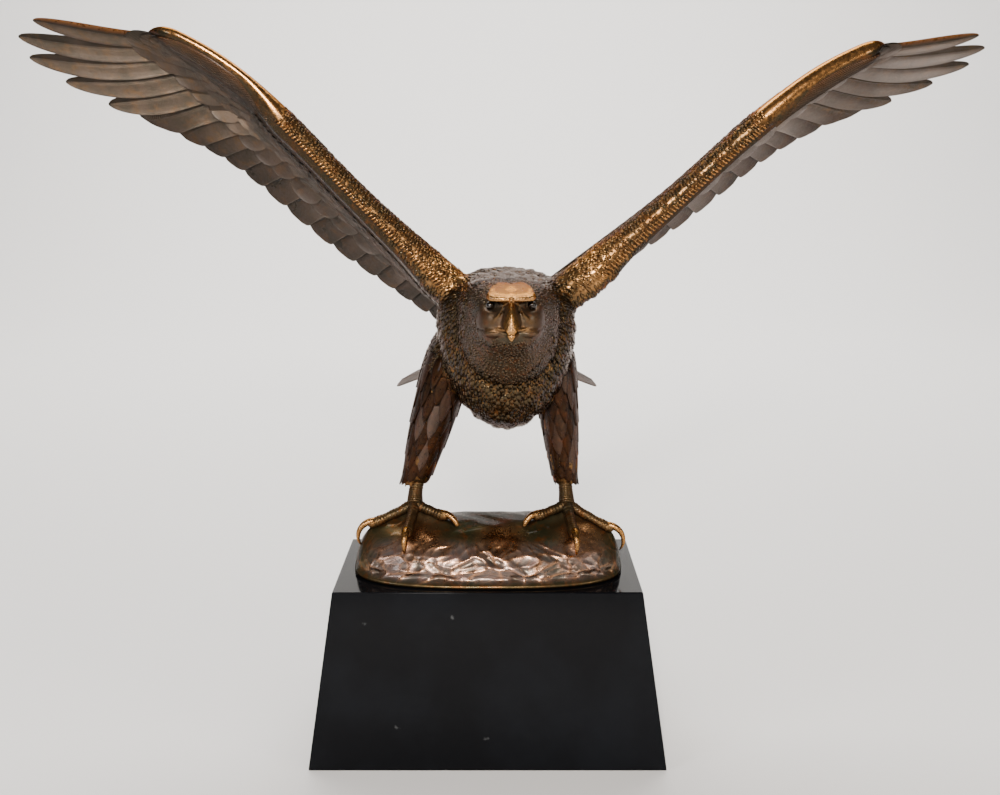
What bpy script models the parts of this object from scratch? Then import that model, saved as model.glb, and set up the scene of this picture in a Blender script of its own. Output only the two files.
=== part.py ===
"""Bronze eagle on a black marble plinth, wings raised, as two solids.

The eagle and the rock mound that it grips are one casting. The plinth is a truncated pyramid
of polished black marble under it. Sizes are in metres, +Z is up, the eagle faces -Y and its
right wing is at -X. The origin is the centre of the plinth's underside.
"""

import math

import bmesh
import bpy
from mathutils import Matrix, Vector

# Stone plinth. Its top is the mound's outline and a ledge, and each face leans in by the inset.
PLINTH_HEIGHT = 0.115
LEDGE_SIDE = 0.0096
LEDGE_FRONT = 0.0075
FACE_INSET = 0.016
ARRIS = 0.0007
SEAT_GAP = 0.0003

# Rock mound, part of the casting.
MOUND_WIDTH = 0.180
MOUND_DEPTH = 0.097
MOUND_HEIGHT = 0.0335
MOUND_TRIM = 0.004  # length below the seat that is cut off flat
ROCK_SWELL = 0.0016  # how far the broad lumps of the rock stand out
ROCK_CUT = 0.0016  # depth of the knife cuts round its lower half
ROCK_CUT_WIDTH = 0.015

# Body. Heights are measured down from the back, which rides above the mound's top.
BACK_RIDE = 0.1675
BODY_LENGTH = 0.157
BODY_WIDTH = 0.089
BODY_DEPTH = 0.1045
BODY_SHIFT = 0.012  # the body leans over the left foot
HEAD_SHIFT = 0.0025  # and the head is turned that way too
BREAST_LENGTH = 0.062  # from the middle of the mound forward to the breast

# Head and neck, thrust forward.
NECK_WIDTH = 0.059
NECK_DEPTH = 0.066
HEAD_LENGTH = 0.105
BEAK_LENGTH = 0.026
BEAK_DEPTH = 0.021
BEAK_WIDTH = 0.030
BROW_WIDTH = 0.031
EYE_DIAMETER = 0.0062
EYE_DROP = 0.0062  # from the brow down to the eye
BROW_THICKNESS = 0.0056
GAPE_DROP = 0.0215
GAPE_THICKNESS = 0.0120

# Shoulders, from the middle of the back. The right wing (-X) is held a little lower.
SHOULDER_SHIFT = 0.007
SHOULDER_RISE = 0.0042
SHOULDER_TILT = 0.0032

# Wings. The wing length runs from the shoulder to the end of the thumb feathers.
WING_LENGTH = 0.246
ARM_THICKNESS = 0.0160
ARM_TOP = 0.0022  # how far the arm stands above the line of the leading edge
CHORD = 0.095
FEATHER_THICKNESS = 0.0021
FEATHER_WIDTH = 0.021
QUILL_INSET = 0.004  # feathers start this far behind the leading edge
COVERT_STEP = 0.0015  # each row of coverts lies this much over the one before
CAMBER = 0.0035
NOSE_DROP = 0.0052  # how far the surface turns down at the leading edge
NOSE_REACH = 0.034
FLIGHT_FEATHERS = 25
PRIMARIES = 10
COVERTS = 15

# Tail.
TAIL_LENGTH = 0.114
TAIL_SPREAD = 36.0  # degrees each side
TAIL_ROOT = 0.034  # width over the feathers' roots
TAIL_SLOPE = 13.0
TAIL_FEATHERS = 12
TAIL_FEATHER_WIDTH = 0.024
TAIL_SINK = 0.028  # length of the roots inside the rump
TAIL_ARCH = 0.0144  # how much lower the outermost feathers lie than the middle ones

# Legs and feet.
THIGH_WIDTH = 0.030
TROUSER_FEATHERS = 9
SHANK_DIAMETER = 0.0105
TOE_LENGTH = 0.029
TOE_DIAMETER = 0.0066
CLAW_BEND = 0.0085
FOOT_RISE = 0.0095  # from the mound up to the ball of the foot
FOOT_FORWARD = 0.003  # the ball of the foot is this far before the mound's middle
ANKLE_RISE = 0.0165

# Fineness of the finished surface.
CAST_GRAIN = 0.00115
CAST_FACES = 8600

BRONZE = (0.16, 0.085, 0.04, 1.0)
MARBLE = (0.012, 0.013, 0.016, 1.0)

SEAT_Z = PLINTH_HEIGHT + SEAT_GAP
ROCK_TOP = SEAT_Z + MOUND_HEIGHT
BACK_Z = ROCK_TOP + BACK_RIDE
MOUND_Y = -0.002


def along(rows, t):
    """The values of a table of shares at t, on a smooth curve through its rows."""
    last = len(rows) - 1
    i = 0
    while i < last - 1 and t > rows[i + 1][0]:
        i += 1
    before, here = rows[max(i - 1, 0)], rows[i]
    there, after = rows[i + 1], rows[min(i + 2, last)]
    u = max(0.0, min(1.0, (t - here[0]) / (there[0] - here[0])))
    span = there[0] - here[0]
    values = []
    for k in range(1, len(here)):
        leave = (there[k] - before[k]) / (there[0] - before[0]) * span
        arrive = (after[k] - here[k]) / (after[0] - here[0]) * span
        values.append(
            here[k] * (2 * u**3 - 3 * u**2 + 1)
            + leave * (u**3 - 2 * u**2 + u)
            + there[k] * (3 * u**2 - 2 * u**3)
            + arrive * (u**3 - u**2)
        )
    return values


def material(name, colour, roughness, metallic):
    """A plain Principled material."""
    made = bpy.data.materials.new(name)
    made.use_nodes = True
    shader = made.node_tree.nodes["Principled BSDF"]
    shader.inputs["Base Color"].default_value = colour
    shader.inputs["Roughness"].default_value = roughness
    shader.inputs["Metallic"].default_value = metallic
    return made


def loft(mesh, rings):
    """Adds a closed skin over rings of points to a bmesh, with a cap at each end."""
    rows = [[mesh.verts.new(point) for point in ring] for ring in rings]
    count = len(rows[0])
    for near, far in zip(rows, rows[1:]):
        for i in range(count):
            j = (i + 1) % count
            mesh.faces.new((near[i], near[j], far[j], far[i]))
    mesh.faces.new(rows[0][::-1])
    mesh.faces.new(rows[-1])


def egg(centre, across, up, half_width, rise, drop, count=20, square=2.0, keel=2.0):
    """An egg-shaped section, with its own height above and below the widest line."""
    points = []
    for i in range(count):
        turn = 2 * math.pi * i / count
        c, s = math.cos(turn), math.sin(turn)
        power = square if s > 0 else keel
        x = math.copysign(abs(c) ** (2 / power), c) * half_width
        z = math.copysign(abs(s) ** (2 / power), s) * (rise if s > 0 else drop)
        points.append(centre + across * x + up * z)
    return points


def tube(mesh, points, radii, count=10):
    """A round limb through points, with a radius at each."""
    rings = []
    side = Vector((1, 0, 0))
    for i, point in enumerate(points):
        ahead = points[min(i + 1, len(points) - 1)] - points[max(i - 1, 0)]
        ahead.normalize()
        side = side - ahead * side.dot(ahead)
        if side.length < 1e-6:
            side = ahead.orthogonal()
        side.normalize()
        other = ahead.cross(side)
        rings.append(egg(point, side, other, radii[i], radii[i], radii[i], count))
    loft(mesh, rings)


def ball(mesh, centre, radii):
    """An ellipsoid."""
    place = Matrix.Translation(centre) @ Matrix.Diagonal((*radii, 1.0))
    bmesh.ops.create_uvsphere(mesh, u_segments=16, v_segments=10, radius=1.0, matrix=place)


def rock_height(x, y):
    """Height of the mound over the plinth's top at a place, without its lumps."""
    u = x / (MOUND_WIDTH / 2)
    v = (y - MOUND_Y) / (MOUND_DEPTH / 2)
    rim = (abs(u) ** 2.8 + abs(v) ** 2.8) ** (1 / 2.8)
    if rim >= 1:
        return 0.0
    ends = abs(u) / max(math.hypot(u, v), 1e-9)
    steep = 2.6 + 5.4 * ends**6
    return MOUND_HEIGHT * math.sqrt(1 - rim**steep)


def scatter(i, j, k):
    """A fixed number from 0 to 1 for three whole numbers."""
    value = math.sin(12.9898 * i + 78.233 * j + 37.719 * k) * 43758.5453
    return value - math.floor(value)


def knife_cut(along_rim, up_slope):
    """Depth from 0 to 1 of tilted, knife-cut facets at a place on the rock's side."""
    near, depth = 9.0, 0.0
    column, row = math.floor(along_rim), math.floor(up_slope)
    for i in (column - 1, column, column + 1):
        for j in (row - 1, row, row + 1):
            u = along_rim - i - scatter(i, j, 0)
            v = up_slope - j - scatter(i, j, 1)
            if math.hypot(u, v) < near:
                near = math.hypot(u, v)
                depth = scatter(i, j, 2) + u * (scatter(i, j, 3) - 0.5) + v * 0.6
    return max(0.0, min(1.0, depth))


def add_mound(mesh):
    """The rock: a low pillow on a rounded oblong, lumpy above and knife-cut round its side."""
    around, rise = 110, 18
    rings = []
    for j in range(rise + 1):
        # Rings close up towards the rim, where the side turns down.
        rim = 1 - (1 - j / rise) ** 1.8 if j else 0.02
        ring = []
        for i in range(around):
            turn = 2 * math.pi * i / around
            c, s = math.cos(turn), math.sin(turn)
            reach = rim / (abs(c) ** 2.8 + abs(s) ** 2.8) ** (1 / 2.8)
            x = c * reach * MOUND_WIDTH / 2
            y = s * reach * MOUND_DEPTH / 2 + MOUND_Y
            wave = turn + x / MOUND_WIDTH
            lump = math.sin(9 * wave) * math.cos(5 * turn - 8 * y / MOUND_DEPTH)
            lump *= ROCK_SWELL * math.sin(math.pi * rim) ** 0.5
            height = rock_height(x * 0.999, MOUND_Y + (y - MOUND_Y) * 0.999)
            side = max(0.0, min(1.0, (1 - height / MOUND_HEIGHT) * 3.0 - 0.5))
            girth = turn * (MOUND_WIDTH + MOUND_DEPTH) / 4 / ROCK_CUT_WIDTH
            cut = ROCK_CUT * side * knife_cut(girth, height / ROCK_CUT_WIDTH * 1.4)
            ring.append(Vector((x - c * cut, y - s * cut, SEAT_Z + height + lump)))
        rings.append(ring)
    foot = [Vector((p.x, p.y, SEAT_Z - MOUND_TRIM)) for p in rings[-1]]
    loft(mesh, [foot] + rings[::-1])


# Body sections: share of the length, then half-width, drop of the top and of the belly.
BODY_ROWS = [
    (0.00, 0.12, 0.40, 0.54),
    (0.03, 0.42, 0.29, 0.72),
    (0.09, 0.70, 0.15, 0.83),
    (0.17, 0.89, 0.06, 0.92),
    (0.28, 0.985, 0.01, 0.975),
    (0.40, 1.00, 0.00, 1.00),
    (0.52, 0.97, 0.01, 0.98),
    (0.65, 0.86, 0.08, 0.91),
    (0.78, 0.66, 0.19, 0.82),
    (0.90, 0.47, 0.34, 0.73),
    (1.00, 0.30, 0.46, 0.67),
]

# Neck and head sections: share of the reach, then half-width, drop of crown and of throat.
HEAD_ROWS = [
    (-0.12, 1.34, 0.06, 1.38),
    (0.14, 1.20, 0.02, 1.20),
    (0.40, 1.08, 0.01, 1.02),
    (0.56, 1.00, 0.01, 1.00),
    (0.66, 0.88, 0.01, 0.91),
    (0.75, 0.76, 0.02, 0.78),
    (0.84, 0.68, 0.04, 0.66),
    (0.92, 0.59, 0.08, 0.58),
    (0.97, 0.46, 0.14, 0.52),
    (1.00, 0.26, 0.20, 0.46),
]

ACROSS = Vector((1, 0, 0))
UP = Vector((0, 0, 1))


def add_body(mesh):
    """Breast, back, belly and rump in one egg-shaped loft."""
    rings = []
    for i in range(25):
        t = (1 - math.cos(math.pi * i / 24)) / 2
        width, top, belly = along(BODY_ROWS, t)
        high = BACK_Z - top * BODY_DEPTH
        low = BACK_Z - belly * BODY_DEPTH
        widest = low + (high - low) * 0.68
        centre = Vector((BODY_SHIFT, BODY_LENGTH * t - BREAST_LENGTH, widest))
        rings.append(
            egg(centre, ACROSS, UP, width * BODY_WIDTH / 2, high - widest, widest - low, 32, 2.3, 1.9)
        )
    loft(mesh, rings)


def add_head(mesh):
    """Neck and flat-crowned head, then brow, eyes, gape and hooked beak."""
    rings = []
    for i in range(23):
        t = -0.12 + 1.12 * math.sin(math.pi / 2 * i / 22)
        width, crown, throat = along(HEAD_ROWS, t)
        high = BACK_Z - crown * NECK_DEPTH
        low = BACK_Z - throat * NECK_DEPTH
        widest = low + (high - low) * 0.55
        centre = Vector((BODY_SHIFT + HEAD_SHIFT * max(t, 0.0), -HEAD_LENGTH * t, widest))
        rings.append(
            egg(centre, ACROSS, UP, width * NECK_WIDTH / 2, high - widest, widest - low, 28, 3.2, 2.1)
        )
    loft(mesh, rings)
    brow_z = BACK_Z - 0.105 * NECK_DEPTH
    middle_x = BODY_SHIFT + HEAD_SHIFT
    for side in (-1, 1):
        inner = Vector((middle_x + side * 0.10 * BROW_WIDTH, -HEAD_LENGTH * 0.955, brow_z))
        outer = Vector((middle_x + side * 0.52 * BROW_WIDTH, -HEAD_LENGTH * 0.84, brow_z))
        tube(mesh, [inner, (inner + outer) / 2, outer], [BROW_THICKNESS * k / 2 for k in (0.86, 1.14, 0.93)])
        eye = Vector((middle_x + side * 0.36 * BROW_WIDTH, -HEAD_LENGTH * 0.915, brow_z - EYE_DROP))
        ball(mesh, eye, [EYE_DIAMETER / 2] * 3)
        gape = Vector((middle_x + side * 0.32 * BROW_WIDTH, -HEAD_LENGTH * 0.86, brow_z - GAPE_DROP))
        ball(mesh, gape, (BROW_WIDTH * 0.27, GAPE_THICKNESS * 0.92, GAPE_THICKNESS / 2))
    # Beak sections: share of the length, then half-width, drop of the ridge and of the edge.
    beak = [
        (0.00, 1.00, 0.00, 0.95),
        (0.30, 0.78, 0.01, 0.97),
        (0.55, 0.50, 0.10, 0.96),
        (0.75, 0.32, 0.28, 0.98),
        (0.90, 0.20, 0.55, 1.04),
        (1.00, 0.10, 0.88, 1.18),
    ]
    rings = []
    for i in range(11):
        t = i / 10
        width, ridge, edge = along(beak, t)
        high = brow_z + BEAK_DEPTH * 0.05 - ridge * BEAK_DEPTH
        low = brow_z + BEAK_DEPTH * 0.05 - edge * BEAK_DEPTH
        middle = low + (high - low) * 0.3
        centre = Vector((middle_x, -HEAD_LENGTH * 0.84 - BEAK_LENGTH * t, middle))
        rings.append(
            egg(centre, ACROSS, UP, width * BEAK_WIDTH / 2, high - middle, middle - low, 16, 1.35, 2.0)
        )
    loft(mesh, rings)


# Rise of the leading edge above the horizontal, in degrees, at shares of the wing length.
EDGE_RISE = [(0.0, 38.5), (0.18, 39.5), (0.49, 44.5), (0.72, 35.5), (0.91, 23.0), (1.06, 20.0)]

# Arm sections at shares of the wing length: half-thickness as a share of half the thickness,
# and how far the section reaches back as a share of the chord.
ARM_ROWS = [
    (-0.10, 1.45, 0.42),
    (0.02, 1.50, 0.44),
    (0.14, 1.20, 0.41),
    (0.30, 1.00, 0.38),
    (0.50, 0.96, 0.37),
    (0.66, 1.04, 0.35),
    (0.80, 0.92, 0.27),
    (0.92, 0.70, 0.16),
    (0.98, 0.45, 0.08),
    (1.00, 0.18, 0.03),
]

# Flight feathers from the outermost in: tip along and behind the leading edge, direction of
# the tip in degrees away from the edge, root along the edge, and width in feather widths.
# Places are shares of the wing length.
FLIGHT_ROWS = [
    (0, 1.309, 0.179, 11.0, 0.90, 0.66),
    (1, 1.350, 0.264, 13.0, 0.87, 0.84),
    (2, 1.321, 0.329, 15.0, 0.83, 0.90),
    (3, 1.220, 0.366, 21.0, 0.77, 0.94),
    (4, 1.098, 0.386, 29.0, 0.71, 0.96),
    (5, 0.967, 0.394, 37.0, 0.65, 1.00),
    (6, 0.846, 0.402, 50.0, 0.61, 1.00),
    (7, 0.772, 0.398, 62.0, 0.59, 1.00),
    (9, 0.638, 0.390, 80.0, 0.54, 1.00),
    (12, 0.455, 0.383, 87.0, 0.42, 1.00),
    (15, 0.290, 0.365, 90.0, 0.28, 1.00),
    (18, 0.150, 0.343, 93.0, 0.16, 0.95),
    (21, 0.030, 0.335, 96.0, 0.06, 0.85),
    (24, -0.120, 0.310, 99.0, -0.06, 0.80),
]


class Wing:
    """One raised wing: a leading edge, and a bent surface behind it that feathers lie on.

    A place on the wing is how far along the edge it is, how far behind it, and how far off the
    surface on the upper side.
    """

    steps = 60

    def __init__(self, side, lift, sweep, bank, bank_tip):
        self.side = side
        self.bank, self.bank_tip = math.radians(bank), math.radians(bank_tip)
        start = Vector((BODY_SHIFT, 0, BACK_Z)) + Vector(
            (SHOULDER_SHIFT + side * BODY_WIDTH * 0.405, 0, SHOULDER_RISE + side * SHOULDER_TILT)
        )
        self.points, self.headings = [start], []
        for i in range(self.steps):
            rise = math.radians(along(EDGE_RISE, (i + 0.5) / self.steps)[0] + lift)
            turn = math.radians(sweep)
            flat = Vector((side * math.cos(turn), math.sin(turn), 0))
            self.headings.append(flat * math.cos(rise) + UP * math.sin(rise))
            self.points.append(self.points[-1] + self.headings[-1] * (WING_LENGTH / self.steps))
        self.headings.append(self.headings[-1])

    def frame(self, share):
        """Point on the edge, direction out, direction back and upper normal at a share."""
        i = max(0, min(self.steps, int(share * self.steps)))
        heading = self.headings[i]
        point = self.points[i] + heading * (share - i / self.steps) * WING_LENGTH
        back = Vector((0, 1, 0))
        back = (back - heading * back.dot(heading)).normalized()
        under = heading.cross(back) * (1 if heading.cross(back).z < 0 else -1)
        bank = self.bank + (self.bank_tip - self.bank) * max(0.0, min(1.0, share))
        chord = back * math.cos(bank) + under * math.sin(bank)
        return point, heading, chord, back * math.sin(bank) - under * math.cos(bank)

    def arch(self, share, behind):
        """How far the surface bows up behind the edge. The hand is flatter than the arm."""
        fade = max(0.0, min(1.0, (1.1 - share) / 0.4))
        bow = CAMBER * fade * math.sin(math.pi * max(0.0, min(1.0, behind / CHORD)))
        nose = max(0.0, 1 - max(0.0, behind) / NOSE_REACH)
        return bow - NOSE_DROP * (0.35 + 0.65 * fade) * nose * nose

    def place(self, share, behind, off):
        """The point at a place on the wing."""
        point, _, chord, normal = self.frame(share)
        return point + chord * behind + normal * (off + self.arch(share, behind))

    def add_arm(self, mesh):
        """The thick feathered arm along the leading edge, ending in the thumb feathers."""
        rings = []
        for i in range(35):
            share = -0.10 + 1.10 * math.sin(math.pi / 2 * i / 34)
            nose, reach = along(ARM_ROWS, share)
            nose *= ARM_THICKNESS / 2
            reach *= CHORD
            drop = max(0.0, nose * 1.13 - ARM_TOP)
            ring = []
            for k in range(22):
                turn = 2 * math.pi * k / 22
                x = (1 - math.cos(turn)) / 2
                bow = 2.95 * (math.sqrt(x) - 0.424 * x - 1.184 * x**2 + 0.957 * x**3 - 0.349 * x**4)
                bow *= nose * 1.13 * math.copysign(1.0, math.sin(turn)) if k % 11 else 0.0
                point, _, chord, normal = self.frame(share)
                behind = x * (nose + reach) - nose
                ring.append(point + chord * behind + normal * (bow - drop))
            rings.append(ring)
        loft(mesh, rings)

    def add_web(self, mesh):
        """A thin sheet inside the feathers, so that no slit is left between them."""
        rings = []
        for i in range(33):
            share = -0.10 + 1.12 * i / 32
            reach = self.trailing(share) * 0.84
            ring = []
            for level in (0.42, -0.42):
                for k in range(7):
                    behind = reach * (k if level > 0 else 6 - k) / 6
                    ring.append(self.place(share, behind, level * FEATHER_THICKNESS))
            rings.append(ring)
        loft(mesh, rings)

    def trailing(self, share):
        """Distance from the leading edge to the line of the feathers' ends at a share."""
        near, far = FLIGHT_ROWS[0], FLIGHT_ROWS[-1]
        for ahead, behind in zip(FLIGHT_ROWS, FLIGHT_ROWS[1:]):
            if behind[1] <= share < ahead[1]:
                near, far = ahead, behind
        mix = (share - far[1]) / (near[1] - far[1])
        reach = far[2] + (near[2] - far[2]) * max(0.0, min(1.0, mix))
        return reach * WING_LENGTH * (1 - 0.62 * max(0.0, min(1.0, (share - 0.70) / 0.32)))

    def add_feather(self, mesh, root, tip, angle, width, off=0.0, roll=7.0, blunt=0.75):
        """A leaf-shaped feather on a curved shaft. Its trailing side dips below its neighbour."""
        reach = math.hypot(tip[0] - root[0], tip[1] - root[1])
        turn = math.radians(angle)
        bend = (tip[0] - math.cos(turn) * reach * 0.5, tip[1] - math.sin(turn) * reach * 0.5)
        rings = []
        stations = 10
        for j in range(stations + 1):
            s = j / stations
            a, b, da, db = [
                (1 - s) ** 2 * root[0] + 2 * s * (1 - s) * bend[0] + s * s * tip[0],
                (1 - s) ** 2 * root[1] + 2 * s * (1 - s) * bend[1] + s * s * tip[1],
                2 * (1 - s) * (bend[0] - root[0]) + 2 * s * (tip[0] - bend[0]),
                2 * (1 - s) * (bend[1] - root[1]) + 2 * s * (tip[1] - bend[1]),
            ]
            run = math.hypot(da, db)
            shape = 0.60 + 0.40 * math.sin(math.pi / 2 * min(1.0, s / 0.6))
            if s > blunt:
                shape *= math.sqrt(max(0.0, 1 - ((s - blunt) / (1.004 - blunt)) ** 2))
            half = max(width / 2 * shape, FEATHER_THICKNESS * 0.3)
            ring = []
            for across, level in ((-1, 0.3), (0, 0.62), (1, 0.3), (1, -0.3), (0, -0.5), (-1, -0.3)):
                u = half * across
                lift = off + level * FEATHER_THICKNESS - u * math.tan(math.radians(roll))
                ring.append(self.place((a - db / run * u) / WING_LENGTH, b + da / run * u, lift))
            rings.append(ring if self.side < 0 else ring[::-1])
        loft(mesh, rings)

    def add_feathers(self, mesh):
        """Flight feathers, then two rows of coverts over them on both faces."""
        for k in range(FLIGHT_FEATHERS):
            out, behind, angle, root, wide = along(FLIGHT_ROWS, k * 24 / (FLIGHT_FEATHERS - 1))
            start = (root * WING_LENGTH, QUILL_INSET)
            tip = (out * WING_LENGTH, behind * WING_LENGTH)
            blunt = 0.76 if k < PRIMARIES else 0.86
            self.add_feather(mesh, start, tip, angle, FEATHER_WIDTH * wide, blunt=blunt)
        for share, count, off in (
            (0.66, COVERTS, COVERT_STEP),
            (0.46, COVERTS + 3, 2 * COVERT_STEP),
        ):
            for k in range(count):
                out, behind, angle, root, wide = along(FLIGHT_ROWS, 0.5 + 23 * k / (count - 1))
                start = (root * WING_LENGTH, QUILL_INSET)
                share_out = root + (out - root) * share * (0.78 if k < count / 3 else 1.0)
                tip = (share_out * WING_LENGTH, behind * WING_LENGTH * share)
                steer = angle + 12 * max(0.0, 1 - k / count * 2.4)
                for side in (1, -1):
                    self.add_feather(
                        mesh, start, tip, steer, FEATHER_WIDTH * 1.02, off * side, 6.0, 0.66
                    )


def add_tail(mesh):
    """A spread fan of feathers, arched so that its corners hang lowest."""
    root = Vector((BODY_SHIFT * 0.45, BODY_LENGTH - BREAST_LENGTH - TAIL_SINK, BACK_Z - 0.56 * BODY_DEPTH))
    for k in range(TAIL_FEATHERS):
        t = 2 * k / (TAIL_FEATHERS - 1) - 1
        yaw = math.radians(TAIL_SPREAD) * t
        slope = math.radians(TAIL_SLOPE + 6 * t * t)
        ahead = Vector((math.sin(yaw), math.cos(yaw), 0)) * math.cos(slope) - UP * math.sin(slope)
        aside = Vector((math.cos(yaw), -math.sin(yaw), 0))
        normal = aside.cross(ahead).normalized()
        rings = []
        for j in range(9):
            s = j / 8
            shape = 0.45 + 0.55 * math.sin(math.pi / 2 * min(1.0, s / 0.7))
            if s > 0.84:
                shape *= math.sqrt(max(0.0, 1 - ((s - 0.84) / 0.163) ** 2))
            half = max(TAIL_FEATHER_WIDTH / 2 * shape, FEATHER_THICKNESS * 0.4)
            centre = root + ahead * (TAIL_LENGTH * (1 - 0.07 * t * t) * s) + ACROSS * (t * TAIL_ROOT / 2)
            ring = []
            for across, level in ((-1, 0.35), (0, 0.6), (1, 0.35), (1, -0.35), (0, -0.6), (-1, -0.35)):
                tilt = -across * half * 0.10 * (1 if t > 0 else -1)
                lift = level * FEATHER_THICKNESS + tilt - TAIL_ARCH / 2 * abs(t)
                ring.append(centre + aside * across * half + normal * lift)
            rings.append(ring)
        loft(mesh, rings)


# Trouser sections from above the hip down: share of the height, half-width and half-depth.
THIGH_ROWS = [
    (-0.30, 0.20, 0.35),
    (-0.22, 0.62, 1.10),
    (-0.05, 0.96, 1.75),
    (0.12, 1.02, 1.90),
    (0.35, 0.94, 1.62),
    (0.62, 0.82, 1.14),
    (0.85, 0.66, 0.80),
    (1.00, 0.56, 0.64),
]

# Toes of a foot: heading away from straight ahead, outwards, in degrees, and length as a share.
TOES = [(76.0, 1.00), (8.0, 0.93), (-64.0, 0.78), (172.0, 0.62)]


def add_leg(mesh, side):
    """Feathered thigh, scaly shank, four toes and their claws, on the mound."""
    foot_x = side * MOUND_WIDTH * 0.285 + MOUND_WIDTH * 0.01
    ball_z = SEAT_Z + rock_height(foot_x, -FOOT_FORWARD) + FOOT_RISE
    lean = BODY_SHIFT * 0.8
    girth_share = 1.03 - 0.09 * side
    hip = Vector((lean + side * BODY_WIDTH * 0.376, BODY_WIDTH * 0.15, BACK_Z - 0.53 * BODY_DEPTH))
    ankle = Vector((foot_x - side * SHANK_DIAMETER * 0.08, BODY_WIDTH * 0.12, ball_z + ANKLE_RISE))
    rings = []
    for i in range(15):
        t = -0.30 + 1.30 * i / 14
        wide, deep = along(THIGH_ROWS, t)
        rings.append(
            egg(
                hip.lerp(ankle, t),
                ACROSS,
                Vector((0, 1, 0)),
                wide * girth_share * THIGH_WIDTH / 2,
                deep * THIGH_WIDTH / 2,
                deep * THIGH_WIDTH / 2,
                16,
            )
        )
    loft(mesh, rings)
    for k in range(TROUSER_FEATHERS):
        turn = 2 * math.pi * (k + 0.5) / TROUSER_FEATHERS
        for start, end in ((0.30, 0.78), (0.58, 1.10)):
            line, girth = [], []
            for t, thick in ((start, 0.5), ((start + end) / 2, 1.0), (end - 0.1, 0.8), (end, 0.25)):
                wide, deep = along(THIGH_ROWS, min(t, 1.0))
                centre = hip.lerp(ankle, t)
                centre.x += math.cos(turn) * wide * girth_share * THIGH_WIDTH / 2 * 0.90
                centre.y += math.sin(turn) * deep * THIGH_WIDTH / 2 * 0.90
                line.append(centre)
                girth.append(thick * THIGH_WIDTH * 0.095)
            tube(mesh, line, girth, 8)
    foot = Vector((foot_x, -FOOT_FORWARD, ball_z))
    shank = SHANK_DIAMETER / 2
    tube(mesh, [hip.lerp(ankle, 0.85), ankle.lerp(foot, 0.4), foot], [shank, shank * 0.92, shank * 1.05])
    ball(mesh, foot, (shank * 1.1, shank * 1.15, shank * 0.9))
    for heading, share in TOES:
        turn = math.radians(heading)
        out = Vector((side * math.sin(turn), -math.cos(turn), 0))
        length = TOE_LENGTH * share
        end = foot + out * length
        end.z = SEAT_Z + rock_height(end.x, end.y) + TOE_DIAMETER * 0.62
        knuckle = foot.lerp(end, 0.5)
        knuckle.z = max(knuckle.z, SEAT_Z + rock_height(knuckle.x, knuckle.y) + TOE_DIAMETER * 0.4)
        thick = TOE_DIAMETER / 2
        tube(mesh, [foot, knuckle, end], [thick * 1.25, thick, thick * 1.08])
        ball(mesh, end, (thick * 1.15, thick * 1.15, thick))
        claw, girth = [], []
        for j in range(8):
            arc = math.radians(-12 + 138 * j / 7)
            reach = out * (CLAW_BEND * math.sin(arc)) + UP * CLAW_BEND * (math.cos(arc) - 1)
            claw.append(end + reach + UP * thick * 0.45)
            girth.append(thick * (0.78 - 0.58 * j / 7))
        tube(mesh, claw, girth, 8)


def largest_shell(mesh):
    """Keeps the biggest connected skin of a bmesh, so that closed voids are filled."""
    left, shells = set(mesh.verts), []
    while left:
        queue, shell = [left.pop()], []
        while queue:
            vert = queue.pop()
            shell.append(vert)
            for edge in vert.link_edges:
                other = edge.other_vert(vert)
                if other in left:
                    left.remove(other)
                    queue.append(other)
        shells.append(shell)
    keep = max(shells, key=len)
    for shell in shells:
        if shell is not keep:
            bmesh.ops.delete(mesh, geom=shell, context="VERTS")


def cast(name, mesh, finish, collection):
    """Fuses overlapping skins into one solid, thins its faces and cuts it flat at the seat."""
    raw = bpy.data.meshes.new(name + "_raw")
    mesh.to_mesh(raw)
    mesh.free()
    rough = bpy.data.objects.new(name + "_raw", raw)
    collection.objects.link(rough)
    fuse = rough.modifiers.new("fuse", "REMESH")
    fuse.mode = "VOXEL"
    fuse.voxel_size = CAST_GRAIN
    bpy.context.view_layer.update()
    dense = rough.evaluated_get(bpy.context.evaluated_depsgraph_get())
    thin = rough.modifiers.new("thin", "DECIMATE")
    thin.ratio = CAST_FACES / (2 * len(dense.data.polygons))
    thin.use_collapse_triangulate = True
    bpy.context.view_layer.update()
    depsgraph = bpy.context.evaluated_depsgraph_get()
    solid = bpy.data.meshes.new_from_object(rough.evaluated_get(depsgraph), depsgraph=depsgraph)
    bpy.data.objects.remove(rough)
    clean = bmesh.new()
    clean.from_mesh(solid)
    largest_shell(clean)
    below = [v for v in clean.verts if v.co.z < SEAT_Z]
    cut = bmesh.ops.bisect_plane(
        clean,
        geom=clean.verts[:] + clean.edges[:] + clean.faces[:],
        plane_co=(0, 0, SEAT_Z),
        plane_no=(0, 0, -1),
        clear_outer=bool(below),
    )
    rim = [item for item in cut["geom_cut"] if isinstance(item, bmesh.types.BMEdge)]
    bmesh.ops.edgeloop_fill(clean, edges=rim)
    bmesh.ops.recalc_face_normals(clean, faces=clean.faces)
    bmesh.ops.triangulate(clean, faces=clean.faces)
    clean.to_mesh(solid)
    clean.free()
    made = bpy.data.objects.new(name, solid)
    solid.materials.clear()
    solid.materials.append(finish)
    collection.objects.link(made)
    return made


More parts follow.
